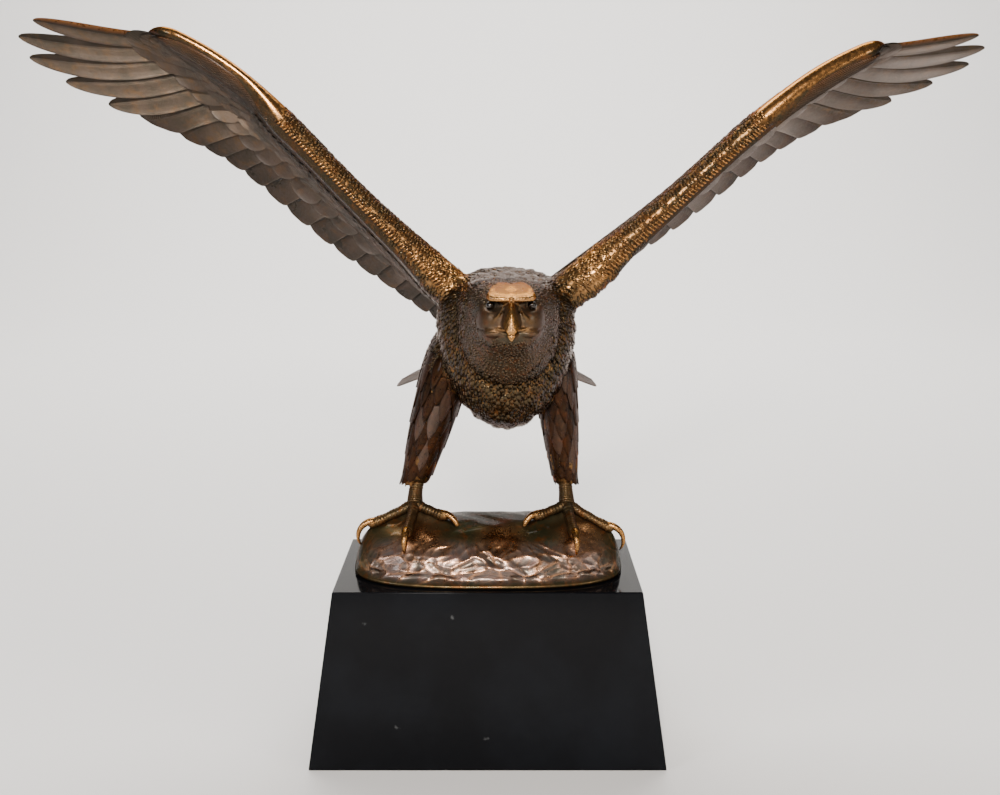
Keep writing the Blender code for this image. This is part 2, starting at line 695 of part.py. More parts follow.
def add_plinth(collection, finish):
    """The stone block: a cube whose top is drawn in, with worn edges."""
    mesh = bmesh.new()
    bmesh.ops.create_cube(mesh, size=1.0)
    top_width, top_depth = MOUND_WIDTH + 2 * LEDGE_SIDE, MOUND_DEPTH + 2 * LEDGE_FRONT
    for vert in mesh.verts:
        lean = 0 if vert.co.z > 0 else FACE_INSET
        vert.co.x *= top_width + 2 * lean
        vert.co.y *= top_depth + 2 * lean
        vert.co.z = PLINTH_HEIGHT if vert.co.z > 0 else 0.0
    data = bpy.data.meshes.new("plinth")
    mesh.to_mesh(data)
    mesh.free()
    data.materials.append(finish)
    made = bpy.data.objects.new("plinth", data)
    collection.objects.link(made)
    worn = made.modifiers.new("worn edges", "BEVEL")
    worn.width = ARRIS
    worn.segments = 2
    return made


def main():
    """Clears the scene and builds the plinth and the casting."""
    for old in list(bpy.data.objects):
        bpy.data.objects.remove(old)
    collection = bpy.data.collections.new("Bronze eagle")
    bpy.context.scene.collection.children.link(collection)
    add_plinth(collection, material("polished black marble", MARBLE, 0.25, 0.0))
    mesh = bmesh.new()
    add_mound(mesh)
    add_body(mesh)
    add_head(mesh)
    for wing in (Wing(-1, 1.9, -4.5, 36.0, 42.0), Wing(1, -1.7, 3.5, 22.0, 29.0)):
        wing.add_arm(mesh)
        wing.add_web(mesh)
        wing.add_feathers(mesh)
    add_tail(mesh)
    for side in (-1, 1):
        add_leg(mesh, side)
    cast("eagle", mesh, material("patinated bronze", BRONZE, 0.35, 0.9), collection)


main()
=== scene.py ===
"""Looks of a cast bronze eagle with raised wings, standing on rock on a black stone plinth.

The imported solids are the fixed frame. The casting's solid is replaced by finer meshes of the same
form: a fused body, a carved head, wings laid feather by feather, scaly feet, knife-cut rock, and
small raised feathers that Geometry Nodes lay over the surfaces. All sizes are in metres.
"""

from __future__ import annotations

import logging
import math
from dataclasses import dataclass, field
from enum import Enum
from typing import Any, Sequence

import bmesh
import bpy
import numpy as np
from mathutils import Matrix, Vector
from mathutils.kdtree import KDTree

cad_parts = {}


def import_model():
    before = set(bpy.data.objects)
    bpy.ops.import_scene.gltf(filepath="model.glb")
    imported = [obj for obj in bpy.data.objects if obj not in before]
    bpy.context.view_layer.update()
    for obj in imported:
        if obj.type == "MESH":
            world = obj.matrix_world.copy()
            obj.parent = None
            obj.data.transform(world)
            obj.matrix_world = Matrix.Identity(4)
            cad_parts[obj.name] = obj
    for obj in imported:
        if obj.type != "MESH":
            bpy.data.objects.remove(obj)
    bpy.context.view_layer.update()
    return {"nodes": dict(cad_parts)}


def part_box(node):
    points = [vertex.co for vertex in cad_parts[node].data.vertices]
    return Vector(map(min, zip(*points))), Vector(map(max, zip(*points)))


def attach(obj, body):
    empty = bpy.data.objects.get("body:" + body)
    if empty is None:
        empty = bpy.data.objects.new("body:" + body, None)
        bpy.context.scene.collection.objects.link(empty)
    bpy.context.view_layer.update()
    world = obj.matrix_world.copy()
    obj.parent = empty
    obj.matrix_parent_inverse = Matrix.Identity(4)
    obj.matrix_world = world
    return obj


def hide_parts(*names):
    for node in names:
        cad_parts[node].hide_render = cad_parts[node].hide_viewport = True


log = logging.getLogger("bronze eagle")

Rows = Sequence[tuple[float, ...]]

CASTING = "eagle"
STONE = "plinth"
BODY = "root"
SEAT_GAP = 0.0003
MARKS = ("rub", "tone", "rise", "barb", "plumage", "size")
MARK_DEFAULTS = {"rub": 0.0, "tone": 0.5, "rise": 1.0, "barb": 0.0, "plumage": 0.0, "size": 1.0}

ACROSS = np.array((1.0, 0.0, 0.0))
DEEP = np.array((0.0, 1.0, 0.0))
UP = np.array((0.0, 0.0, 1.0))


class Side(Enum):
    """The bird's right side is at -X and its left side at +X."""

    RIGHT = -1
    LEFT = 1


class Face(Enum):
    """The two faces of a wing, by the sign of their height off its middle surface."""

    UPPER = 1
    UNDER = -1


@dataclass(frozen=True)
class Sizes:
    """Driving sizes of the casting, the same as those of its solids."""

    seat_z: float
    mound_width: float = 0.180
    mound_depth: float = 0.097
    mound_height: float = 0.0335
    mound_y: float = -0.002
    back_ride: float = 0.1675
    body_length: float = 0.157
    body_width: float = 0.089
    body_depth: float = 0.1045
    body_shift: float = 0.012
    head_shift: float = 0.0025
    breast_length: float = 0.062
    neck_width: float = 0.059
    neck_depth: float = 0.066
    head_length: float = 0.105
    wing_length: float = 0.246
    arm_thickness: float = 0.0160
    arm_top: float = 0.0022
    chord: float = 0.095
    feather_thickness: float = 0.0021
    feather_width: float = 0.021
    thigh_width: float = 0.030
    shank_diameter: float = 0.0105
    toe_length: float = 0.029
    toe_diameter: float = 0.0066

    @property
    def rock_top(self) -> float:
        """Height of the mound's top."""
        return self.seat_z + self.mound_height

    @property
    def back_z(self) -> float:
        """Height of the bird's back."""
        return self.rock_top + self.back_ride


def along(rows: Rows, t: float) -> list[float]:
    """Reads a table of shares on a smooth curve through its rows.

    Args:
        rows: Rows of a share followed by values.
        t: The share to read at.

    Returns:
        The values at that share.
    """
    last = len(rows) - 1
    i = 0
    while i < last - 1 and t > rows[i + 1][0]:
        i += 1
    before, here = rows[max(i - 1, 0)], rows[i]
    there, after = rows[i + 1], rows[min(i + 2, last)]
    span = there[0] - here[0]
    u = max(0.0, min(1.0, (t - here[0]) / span))
    values = []
    for k in range(1, len(here)):
        leave = (there[k] - before[k]) / (there[0] - before[0]) * span
        arrive = (after[k] - here[k]) / (after[0] - here[0]) * span
        values.append(
            here[k] * (2 * u**3 - 3 * u**2 + 1)
            + leave * (u**3 - 2 * u**2 + u)
            + there[k] * (3 * u**2 - 2 * u**3)
            + arrive * (u**3 - u**2)
        )
    return values


def ease(low: float, high: float, value: Any) -> Any:
    """Runs smoothly from 0 at low to 1 at high, for a number or an array."""
    t = np.clip((np.asarray(value, float) - low) / (high - low), 0.0, 1.0)
    return t * t * (3 - 2 * t)


def scatter(i: Any, j: Any, k: Any) -> Any:
    """Returns a fixed number from 0 to 1 for three whole numbers, or arrays of them."""
    value = np.sin(12.9898 * i + 78.233 * j + 37.719 * k) * 43758.5453
    return value - np.floor(value)


def unit(vectors: np.ndarray) -> np.ndarray:
    """Scales vectors on the last axis to length one."""
    length = np.linalg.norm(vectors, axis=-1, keepdims=True)
    return vectors / np.maximum(length, 1e-12)


def egg(
    centre: np.ndarray,
    across: np.ndarray,
    up: np.ndarray,
    half_width: float,
    rise: float,
    drop: float,
    count: int,
    square: float = 2.0,
    keel: float = 2.0,
) -> np.ndarray:
    """Draws an egg-shaped section with its own height above and below the widest line.

    Args:
        centre: Middle of the widest line.
        across: Direction of the width.
        up: Direction of the height.
        half_width: Half of the widest line.
        rise: Height above the widest line.
        drop: Depth below it.
        count: Number of points.
        square: How square the upper half is; 2 is round.
        keel: How square the lower half is.

    Returns:
        The points, as rows of an array.
    """
    turn = 2 * math.pi * np.arange(count) / count
    c, s = np.cos(turn), np.sin(turn)
    power = np.where(s > 0, square, keel)
    x = np.copysign(np.abs(c) ** (2 / power), c) * half_width
    z = np.copysign(np.abs(s) ** (2 / power), s) * np.where(s > 0, rise, drop)
    return centre + np.outer(x, across) + np.outer(z, up)


@dataclass
class Shell:
    """Closed skins collected into one mesh, with a value of each mark kept at each point."""

    points: list[np.ndarray] = field(default_factory=list)
    faces: list[list[int]] = field(default_factory=list)
    marks: dict[str, list[np.ndarray]] = field(default_factory=lambda: {name: [] for name in MARKS})
    count: int = 0

    def loft(self, rings: Any, **marks: Any) -> None:
        """Adds a closed skin over rings of points, with a cap at each end, facing outwards.

        Args:
            rings: Array of rings, points and coordinates.
            marks: Value of a mark for all the skin, each ring or each point.
        """
        grid = np.asarray(rings, float)
        rows, around = grid.shape[:2]
        index = np.arange(rows * around).reshape(rows, around)
        near, far = index[:-1], index[1:]
        quads = np.stack([near, np.roll(near, -1, 1), np.roll(far, -1, 1), far], -1).reshape(-1, 4)
        flat = grid.reshape(-1, 3)
        middle = flat.mean(0)
        a, b, c, d = (flat[quads[:, k]] - middle for k in range(4))
        volume = np.einsum("ij,ij->", a, np.cross(b, c)) + np.einsum("ij,ij->", a, np.cross(c, d))
        faces = quads.tolist() + [index[0][::-1].tolist(), index[-1].tolist()]
        if volume < 0:
            faces = [face[::-1] for face in faces]
        self.faces.extend([[k + self.count for k in face] for face in faces])
        self.points.append(flat)
        for name in MARKS:
            value = np.asarray(marks.get(name, MARK_DEFAULTS[name]), float)
            if value.ndim == 1:
                value = value[:, None]
            self.marks[name].append(np.broadcast_to(value, (rows, around)).reshape(-1))
        self.count += rows * around

    def tube(self, path: Any, radii: Any, count: int = 16, flat: float = 1.0, **marks: Any) -> None:
        """Adds a limb along a path.

        Args:
            path: Points of its middle line.
            radii: A radius at each point.
            count: Points round it.
            flat: Its depth as a share of its width.
            marks: Values for the skin, as in loft.
        """
        points = np.asarray(path, float)
        ahead = unit(np.gradient(points, axis=0))
        side = ACROSS
        rings = []
        for point, radius, forward in zip(points, radii, ahead):
            side = side - forward * side.dot(forward)
            if np.linalg.norm(side) < 1e-6:
                side = np.cross(forward, DEEP)
            side = unit(side)
            other = np.cross(forward, side)
            rings.append(egg(point, side, other, radius, radius * flat, radius * flat, count))
        self.loft(rings, **marks)

    def ball(self, centre: Any, radii: Sequence[float], count: int = 20, **marks: Any) -> None:
        """Adds an ellipsoid with a small flat at each pole."""
        rings = []
        for turn in np.linspace(-1.5, 1.5, count // 2 + 2):
            middle = np.asarray(centre, float) + UP * radii[2] * math.sin(turn)
            wide, deep = radii[0] * math.cos(turn), radii[1] * math.cos(turn)
            rings.append(egg(middle, ACROSS, DEEP, wide, deep, deep, count))
        self.loft(rings, **marks)

    def build(self, name: str) -> bpy.types.Object:
        """Makes an object of everything collected, with the marks as point attributes."""
        mesh = bpy.data.meshes.new(name)
        mesh.from_pydata(np.concatenate(self.points).tolist(), [], self.faces)
        for mark, values in self.marks.items():
            attribute = mesh.attributes.new(mark, "FLOAT", "POINT")
            attribute.data.foreach_set("value", np.concatenate(values).astype(np.float32))
        mesh.shade_smooth()
        made = bpy.data.objects.new(name, mesh)
        bpy.context.scene.collection.objects.link(made)
        return made


def coordinates(mesh: bpy.types.Mesh) -> np.ndarray:
    """Returns a mesh's points as rows of an array."""
    values = np.zeros(len(mesh.vertices) * 3, np.float32)
    mesh.vertices.foreach_get("co", values)
    return values.reshape(-1, 3).astype(float)


def normals(mesh: bpy.types.Mesh) -> np.ndarray:
    """Returns a mesh's point normals as rows of an array."""
    values = np.zeros(len(mesh.vertices) * 3, np.float32)
    mesh.vertex_normals.foreach_get("vector", values)
    return values.reshape(-1, 3).astype(float)


def mark_values(mesh: bpy.types.Mesh, name: str) -> np.ndarray:
    """Returns the values of one mark of a mesh."""
    values = np.zeros(len(mesh.vertices), np.float32)
    mesh.attributes[name].data.foreach_get("value", values)
    return values.astype(float)


def set_mark(mesh: bpy.types.Mesh, name: str, values: np.ndarray) -> None:
    """Writes a mark, which is made if the mesh has none of that name."""
    attribute = mesh.attributes.get(name) or mesh.attributes.new(name, "FLOAT", "POINT")
    attribute.data.foreach_set("value", values.astype(np.float32))


def set_flow(mesh: bpy.types.Mesh, flow: np.ndarray) -> None:
    """Writes the direction in which feathers lie at each point."""
    attribute = mesh.attributes.get("flow") or mesh.attributes.new("flow", "FLOAT_VECTOR", "POINT")
    attribute.data.foreach_set("vector", flow.astype(np.float32).ravel())


def smooth(mesh: bpy.types.Mesh, values: np.ndarray, passes: int, share: float = 0.5) -> np.ndarray:
    """Averages values over neighbouring points.

    Args:
        mesh: Its edges say which points are neighbours.
        values: A row or a number for each point.
        passes: How often they are averaged.
        share: How far each goes towards its neighbours' mean.

    Returns:
        The smoothed values.
    """
    edges = np.zeros(len(mesh.edges) * 2, np.int32)
    mesh.edges.foreach_get("vertices", edges)
    near, far = edges.reshape(-1, 2).T
    total = len(mesh.vertices)
    degree = np.maximum(np.bincount(near, minlength=total) + np.bincount(far, minlength=total), 1)
    columns = values.reshape(total, -1).astype(float)
    for _ in range(passes):
        for k in range(columns.shape[1]):
            column = columns[:, k]
            mean = np.bincount(near, column[far], total) + np.bincount(far, column[near], total)
            columns[:, k] = column + share * (mean / degree - column)
    return columns.reshape(values.shape)


def keep_largest(mesh: bpy.types.Mesh) -> None:
    """Removes every connected skin but the biggest, such as the walls of closed voids."""
    work = bmesh.new()
    work.from_mesh(mesh)
    left, shells = set(work.verts), []
    while left:
        queue, shell = [left.pop()], []
        while queue:
            vert = queue.pop()
            shell.append(vert)
            for edge in vert.link_edges:
                other = edge.other_vert(vert)
                if other in left:
                    left.remove(other)
                    queue.append(other)
        shells.append(shell)
    keep = max(shells, key=len)
    for shell in shells:
        if shell is not keep:
            bmesh.ops.delete(work, geom=shell, context="VERTS")
    work.to_mesh(mesh)
    work.free()


def plain_copy(source: bpy.types.Object, name: str) -> bpy.types.Object:
    """Turns an object with modifiers into a plain mesh object and removes the first."""
    bpy.context.view_layer.update()
    depsgraph = bpy.context.evaluated_depsgraph_get()
    mesh = bpy.data.meshes.new_from_object(source.evaluated_get(depsgraph), depsgraph=depsgraph)
    bpy.data.objects.remove(source)
    made = bpy.data.objects.new(name, mesh)
    mesh.name = name
    bpy.context.scene.collection.objects.link(made)
    return made


def fuse(shell: Shell, name: str, grain: float, passes: int) -> bpy.types.Object:
    """Fuses overlapping skins into one, smooths its joins and hands the marks on.

    Args:
        shell: The overlapping skins.
        name: Name of the finished object.
        grain: Size of a voxel.
        passes: Rounds of smoothing.

    Returns:
        The fused object.
    """
    rough = shell.build(name + "_rough")
    source = np.concatenate(shell.points)
    tree = KDTree(len(source))
    for i, point in enumerate(source):
        tree.insert(point, i)
    tree.balance()
    remesh = rough.modifiers.new("fuse", "REMESH")
    remesh.mode = "VOXEL"
    remesh.voxel_size = grain
    made = plain_copy(rough, name)
    mesh = made.data
    keep_largest(mesh)
    points = coordinates(mesh)
    nearest = np.array([tree.find(point)[1] for point in points])
    for mark in MARKS:
        values = np.concatenate(shell.marks[mark])[nearest]
        set_mark(mesh, mark, smooth(mesh, values, 2))
    mesh.vertices.foreach_set("co", smooth(mesh, points, passes).astype(np.float32).ravel())
    mesh.update()
    mesh.shade_smooth()
    return made


def linear(code: str) -> tuple[float, float, float, float]:
    """Turns an sRGB hex colour into the linear one that shaders take."""
    parts = [int(code[i : i + 2], 16) / 255 for i in (1, 3, 5)]
    curve = [p / 12.92 if p <= 0.04045 else ((p + 0.055) / 1.055) ** 2.4 for p in parts]
    return (*curve, 1.0)


def add(tree: Any, kind: str, links: dict | None = None, out: int | str = 0, **settings: Any) -> Any:
    """Adds a node with its settings, and sets or links its inputs.

    Args:
        tree: The node tree.
        kind: The node's type.
        links: A socket to link or a value to set, by the input's name or number.
        out: Name or number of the output that is wanted.
        settings: Values of the node's own properties.

    Returns:
        That output, or the node where it has none.
    """
    made = tree.nodes.new(kind)
    for name, value in settings.items():
        setattr(made, name, value)
    for key, value in (links or {}).items():
        if isinstance(value, bpy.types.NodeSocket):
            tree.links.new(value, made.inputs[key])
        else:
            made.inputs[key].default_value = value
    return made.outputs[out] if len(made.outputs) else made


# The node types that are used most.
MATH = "ShaderNodeMath"
VECTOR = "ShaderNodeVectorMath"
XYZ = "ShaderNodeCombineXYZ"
RANGE = "ShaderNodeMapRange"
BLEND = "ShaderNodeMix"
NOISE = "ShaderNodeTexNoise"
BUMP = "ShaderNodeBump"
NAMED = "GeometryNodeInputNamedAttribute"


@dataclass(frozen=True)
class PatinatedBronze:
    """Cast bronze with a brown chemical patina, rubbed back to the metal where hands reach.

    The patina is a thin oxide skin, so it reflects darkly and dully and pools in the hollows. Rubbed
    metal is copper-gold and glossy. The edge tint keeps the oxide brown at grazing angles, and a thin
    coat of wax gives small bright glints. Noise scales are sizes in millimetres; the grain is drawn
    coarser than the casting's own, so that it shows.
    """

    name: str
    hollow: str = "#120c08"
    ground: str = "#463522"
    second: str = "#3a3425"
    rust: str = "#5e391d"
    rubbed: str = "#b38350"
    pale: str = "#8d8079"
    crest_rub: float = 0.5
    patina_rough: float = 0.36
    rubbed_rough: float = 0.24
    blotch_mm: float = 16.0
    grain_mm: float = 0.9
    grain_depth: float = 0.15
    barb_mm: float = 1.1
    barb_depth: float = 0.0
    hollow_mm: float = 3.5
    edge_tint: str = "#957e6c"
    wax: float = 0.10
    wax_rough: float = 0.08

    def build(self) -> bpy.types.Material:
        """Makes the material.

        Returns:
            A node material that reads object coordinates and the marks.
        """
        made = bpy.data.materials.new(self.name)
        made.use_nodes = True
        tree = made.node_tree
        shader = tree.nodes["Principled BSDF"]
        shader.inputs["Specular Tint"].default_value = linear(self.edge_tint)
        shader.inputs["Coat Weight"].default_value = self.wax
        shader.inputs["Coat Roughness"].default_value = self.wax_rough
        place = add(tree, "ShaderNodeTexCoord", out="Object")
        rub, tone, rise, barb = (
            add(tree, "ShaderNodeAttribute", out="Fac", attribute_name=name)
            for name in ("rub", "tone", "rise", "barb")
        )
        blotch, streak, speck, grit = (
            add(tree, NOISE, {"Vector": place, "Scale": 1000 / across, "Detail": detail, "Roughness": 0.6})
            for across, detail in (
                (self.blotch_mm, 4.0),
                (self.blotch_mm * 0.43, 3.0),
                (self.grain_mm * 2.6, 2.0),
                (self.grain_mm, 3.0),
            )
        )
        # The patina's colours, one over the other: each has a share that follows a value's range.
        skin = linear(self.ground)
        for value, low, high, least, most, colour in (
            (blotch, 0.40, 0.60, 0.0, 1.0, self.second),
            (streak, 0.52, 0.68, 0.0, 0.8, self.rust),
            # Low tone blends towards the hollow colour and high tone towards the pale one; on the wings the
            # tone also carries painted shade and painted lightness.
            (tone, 0.0, 0.5, 0.40, 0.0, self.hollow),
            (tone, 0.5, 1.0, 0.0, 0.75, self.pale),
        ):
            share = add(tree, RANGE, {0: value, 1: low, 2: high, 3: least, 4: most})
            skin = add(tree, BLEND, {0: share, 6: skin, 7: linear(colour)}, 2, data_type="RGBA")
        # The metal shows where hands rub and in specks on the crests.
        crest = add(tree, RANGE, {0: rise, 1: 0.70, 2: 1.0, 4: self.crest_rub})
        patch = add(tree, RANGE, {0: speck, 1: 0.42, 2: 0.60})
        crest = add(tree, MATH, {0: crest, 1: patch}, operation="MULTIPLY")
        patch = add(tree, RANGE, {0: blotch, 1: 0.35, 2: 0.60, 3: 0.45, 4: 1.25})
        crest = add(tree, MATH, {0: crest, 1: patch}, operation="MULTIPLY")
        patch = add(tree, RANGE, {0: blotch, 1: 0.30, 2: 0.62, 3: 0.62, 4: 1.15})
        worn = add(tree, MATH, {0: rub, 1: patch}, operation="MULTIPLY")
        worn = add(tree, MATH, {0: worn, 1: crest}, operation="ADD", use_clamp=True)
        skin = add(tree, BLEND, {0: worn, 6: skin, 7: linear(self.rubbed)}, 2, data_type="RGBA")
        # Dark oxide lies in the hollows.
        reach = {"Distance": self.hollow_mm / 1000}
        near = add(tree, "ShaderNodeAmbientOcclusion", reach, "AO", samples=6)
        pit = add(tree, RANGE, {0: near, 1: 0.25, 2: 0.85, 3: 1.0, 4: 0.0})
        cut = add(tree, RANGE, {0: rise, 1: 0.0, 2: 0.30, 3: 0.85, 4: 0.0})
        pit = add(tree, MATH, {0: pit, 1: cut}, operation="MAXIMUM")
        skin = add(tree, BLEND, {0: pit, 6: skin, 7: linear(self.hollow)}, 2, data_type="RGBA")
        shine = add(tree, RANGE, {0: worn, 1: 0.0, 2: 0.9, 3: self.patina_rough, 4: self.rubbed_rough})
        patch = add(tree, RANGE, {0: speck, 1: 0.3, 2: 0.7, 3: -0.07, 4: 0.07})
        shine = add(tree, MATH, {0: shine, 1: patch}, operation="ADD")
        shine = add(tree, MATH, {0: pit, 1: 0.25, 2: shine}, operation="MULTIPLY_ADD", use_clamp=True)
        metal = add(tree, RANGE, {0: worn, 1: 0.0, 2: 0.5, 3: 0.80, 4: 1.0})
        relief = {"Strength": self.grain_depth, "Distance": 0.0006, "Height": grit}
        surface = add(tree, BUMP, relief)
        if self.barb_depth > 0:
            wave = 2 * math.pi * 1000 / self.barb_mm
            ridge = add(tree, MATH, {0: barb, 1: wave}, operation="MULTIPLY")
            ridge = add(tree, MATH, {0: ridge}, operation="SINE")
            relief = {"Strength": self.barb_depth, "Distance": 0.0003, "Height": ridge, "Normal": surface}
            surface = add(tree, BUMP, relief)
        for name, value in (
            ("Base Color", skin), ("Roughness", shine), ("Metallic", metal), ("Normal", surface)
        ):
            tree.links.new(value, shader.inputs[name])
        return made


@dataclass(frozen=True)
class PolishedMarble:
    """Sawn and polished black marble: near-black, with faint clouds and a few pale calcite specks.

    The polish is sharp and low, so that the stone mirrors a pale room without turning grey.
    """

    name: str = "polished black marble"
    ground: str = "#090a0d"
    cloud: str = "#101216"
    fleck: str = "#6d6f70"
    rough: float = 0.06
    gloss: float = 0.09
    cloud_mm: float = 60.0
    fleck_mm: float = 26.0
    warp_mm: float = 1000 / 260
    warp_reach: float = 0.006

    def build(self) -> bpy.types.Material:
        """Makes the material.

        Returns:
            A node material that reads object coordinates.
        """
        made = bpy.data.materials.new(self.name)
        made.use_nodes = True
        tree = made.node_tree
        shader = tree.nodes["Principled BSDF"]
        shader.inputs["Specular IOR Level"].default_value = self.gloss
        place = add(tree, "ShaderNodeTexCoord", out="Object")
        cloud = add(tree, NOISE, {"Vector": place, "Scale": 1000 / self.cloud_mm, "Detail": 5.0})
        share = add(tree, RANGE, {0: cloud, 1: 0.45, 2: 0.7})
        colours = {0: share, 6: linear(self.ground), 7: linear(self.cloud)}
        stone = add(tree, BLEND, colours, 2, data_type="RGBA")
        warp = add(tree, NOISE, {"Vector": place, "Scale": 1000 / self.warp_mm, "Detail": 2.0}, "Color")
        nudge = add(tree, VECTOR, {0: warp, "Scale": self.warp_reach}, operation="SCALE")
        moved = add(tree, VECTOR, {0: place, 1: nudge}, operation="ADD")
        cells = add(tree, "ShaderNodeTexVoronoi", {"Vector": moved, "Scale": 1000 / self.fleck_mm})
        spot = add(tree, RANGE, {0: cells, 1: 0.02, 2: 0.07, 3: 0.4, 4: 0.0})
        stone = add(tree, BLEND, {0: spot, 6: stone, 7: linear(self.fleck)}, 2, data_type="RGBA")
        dull = add(tree, RANGE, {0: cloud, 1: 0.35, 2: 0.65, 3: self.rough, 4: self.rough + 0.07})
        tree.links.new(stone, shader.inputs["Base Color"])
        tree.links.new(dull, shader.inputs["Roughness"])
        return made


@dataclass
class Dresser:
    """Gives finished pieces their material and body, and hides the solid that they stand for."""

    def dress(self, piece: bpy.types.Object, finish: bpy.types.Material, slot: str, node: str) -> None:
        """Finishes one piece.

        Args:
            piece: A plain mesh object at the origin.
            finish: Its material.
            slot: Not used.
            node: The solid that it stands for.
        """
        piece.data.materials.clear()
        piece.data.materials.append(finish)
        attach(piece, BODY)
        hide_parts(node)
        log.info("%s: %d faces", piece.name, len(piece.data.polygons))


@dataclass
class SmallFeathers:
    """Small raised feathers laid over a surface by Geometry Nodes, as a sculptor's tool leaves them.

    The surface's marks steer them: plumage is how densely they lie, size how big they are, and flow
    which way their tips point.
    """

    name: str
    spacing: float = 0.0022
    length: float = 0.0072
    width: float = 0.0037
    thickness: float = 0.0009
    lean: float = 12.0
    variation: float = 0.30
    seed: int = 3

    def tree(self) -> bpy.types.NodeTree:
        """Builds the node tree.

        Returns:
            A tree that turns a surface into the feathers on it.
        """
        made = bpy.data.node_groups.new("small feathers", "GeometryNodeTree")
        face = made.interface
        face.new_socket("Geometry", in_out="INPUT", socket_type="NodeSocketGeometry")
        for name in ("Spacing", "Length", "Width", "Thickness", "Lean", "Variation"):
            face.new_socket(name, in_out="INPUT", socket_type="NodeSocketFloat")
        face.new_socket("Seed", in_out="INPUT", socket_type="NodeSocketInt")
        face.new_socket("Finish", in_out="INPUT", socket_type="NodeSocketMaterial")
        face.new_socket("Geometry", in_out="OUTPUT", socket_type="NodeSocketGeometry")
        given = add(made, "NodeGroupInput").node.outputs
        plumage = add(made, NAMED, {"Name": "plumage"}, data_type="FLOAT")
        size = add(made, NAMED, {"Name": "size"}, data_type="FLOAT")
        flow = add(made, NAMED, {"Name": "flow"}, data_type="FLOAT_VECTOR")
        # Feathers stand at least the spacing apart, with their tips lifted along the flow.
        square = add(made, MATH, {0: given["Spacing"], 1: given["Spacing"]}, operation="MULTIPLY")
        crowd = add(made, MATH, {0: 1.6, 1: square}, operation="DIVIDE")
        links = {
            "Mesh": given["Geometry"],
            "Distance Min": given["Spacing"],
            "Density Max": crowd,
            "Density Factor": plumage,
            "Seed": given["Seed"],
        }
        spots = add(made, "GeometryNodeDistributePointsOnFaces", links, distribute_method="POISSON")
        links = {0: spots.node.outputs["Normal"], 1: flow}
        aim = add(made, "FunctionNodeAxesToRotation", links, primary_axis="Z", secondary_axis="Y")
        lean = add(made, XYZ, {"X": given["Lean"]})
        lean = add(made, "FunctionNodeEulerToRotation", {0: lean})
        turned = add(made, "FunctionNodeRotateRotation", {0: aim, 1: lean}, rotation_space="LOCAL")
        # One feather: a flattened ball, a little wider at its tip.
        shape = add(made, "GeometryNodeMeshUVSphere", {"Segments": 5, "Rings": 3, "Radius": 1.0})
        split = add(made, "ShaderNodeSeparateXYZ", {0: add(made, "GeometryNodeInputPosition")}).node.outputs
        wider = add(made, MATH, {0: split["Y"], 1: 0.10, 2: 1.0}, operation="MULTIPLY_ADD")
        wider = add(made, MATH, {0: split["X"], 1: wider}, operation="MULTIPLY")
        place = add(made, XYZ, {"X": wider, "Y": split["Y"], "Z": split["Z"]})
        full = add(made, XYZ, {"X": given["Width"], "Y": given["Length"], "Z": given["Thickness"]})
        half = add(made, VECTOR, {0: full, "Scale": 0.5}, operation="SCALE")
        place = add(made, VECTOR, {0: place, 1: half}, operation="MULTIPLY")
        crest = add(made, MATH, {0: split["Z"], 1: 0.6, 2: 0.4}, operation="MULTIPLY_ADD")
        links = {"Geometry": shape, "Name": "rise", "Value": crest}
        shape = add(made, "GeometryNodeStoreNamedAttribute", links, data_type="FLOAT", domain="POINT")
        shape = add(made, "GeometryNodeSetPosition", {"Geometry": shape, "Position": place})
        low = add(made, MATH, {0: 1.0, 1: given["Variation"]}, operation="SUBTRACT")
        high = add(made, MATH, {0: 1.0, 1: given["Variation"]}, operation="ADD")
        links = {2: low, 3: high, "Seed": given["Seed"]}
        chance = add(made, "FunctionNodeRandomValue", links, 1, data_type="FLOAT")
        scale = add(made, MATH, {0: chance, 1: size}, operation="MULTIPLY")
        links = {"Points": spots, "Instance": shape, "Rotation": turned, "Scale": scale}
        laid = add(made, "GeometryNodeInstanceOnPoints", links)
        laid = add(made, "GeometryNodeRealizeInstances", {"Geometry": laid})
        laid = add(made, "GeometryNodeSetShadeSmooth", {"Geometry": laid})
        laid = add(made, "GeometryNodeSetMaterial", {"Geometry": laid, "Material": given["Finish"]})
        add(made, "NodeGroupOutput", {0: laid})
        return made

    def lay(self, surface: bpy.types.Object, finish: bpy.types.Material) -> bpy.types.Object:
        """Lays the feathers over a surface.

        Args:
            surface: An object whose mesh has the marks and the flow.
            finish: The feathers' material.

        Returns:
            The feathers, as a plain mesh object.
        """
        carrier = bpy.data.objects.new(self.name + "_carrier", surface.data.copy())
        bpy.context.scene.collection.objects.link(carrier)
        modifier = carrier.modifiers.new("small feathers", "NODES")
        modifier.node_group = self.tree()
        values = {
            "Spacing": self.spacing,
            "Length": self.length,
            "Width": self.width,
            "Thickness": self.thickness,
            "Lean": math.radians(self.lean),
            "Variation": self.variation,
            "Seed": self.seed,
            "Finish": finish,
        }
        for item in modifier.node_group.interface.items_tree:
            if item.in_out == "INPUT" and item.name in values:
                modifier[item.identifier] = values[item.name]
        return plain_copy(carrier, self.name)


# Body sections: share of the length, then half-width, drop of the top and of the belly.
BODY_ROWS: Rows = [
    (0.00, 0.12, 0.40, 0.54),
    (0.03, 0.42, 0.29, 0.72),
    (0.09, 0.70, 0.15, 0.83),
    (0.17, 0.89, 0.06, 0.92),
    (0.28, 0.985, 0.01, 0.975),
    (0.40, 1.00, 0.00, 1.00),
    (0.52, 0.97, 0.01, 0.98),
    (0.65, 0.86, 0.08, 0.91),
    (0.78, 0.66, 0.19, 0.82),
    (0.90, 0.47, 0.34, 0.73),
    (1.00, 0.30, 0.46, 0.67),
]

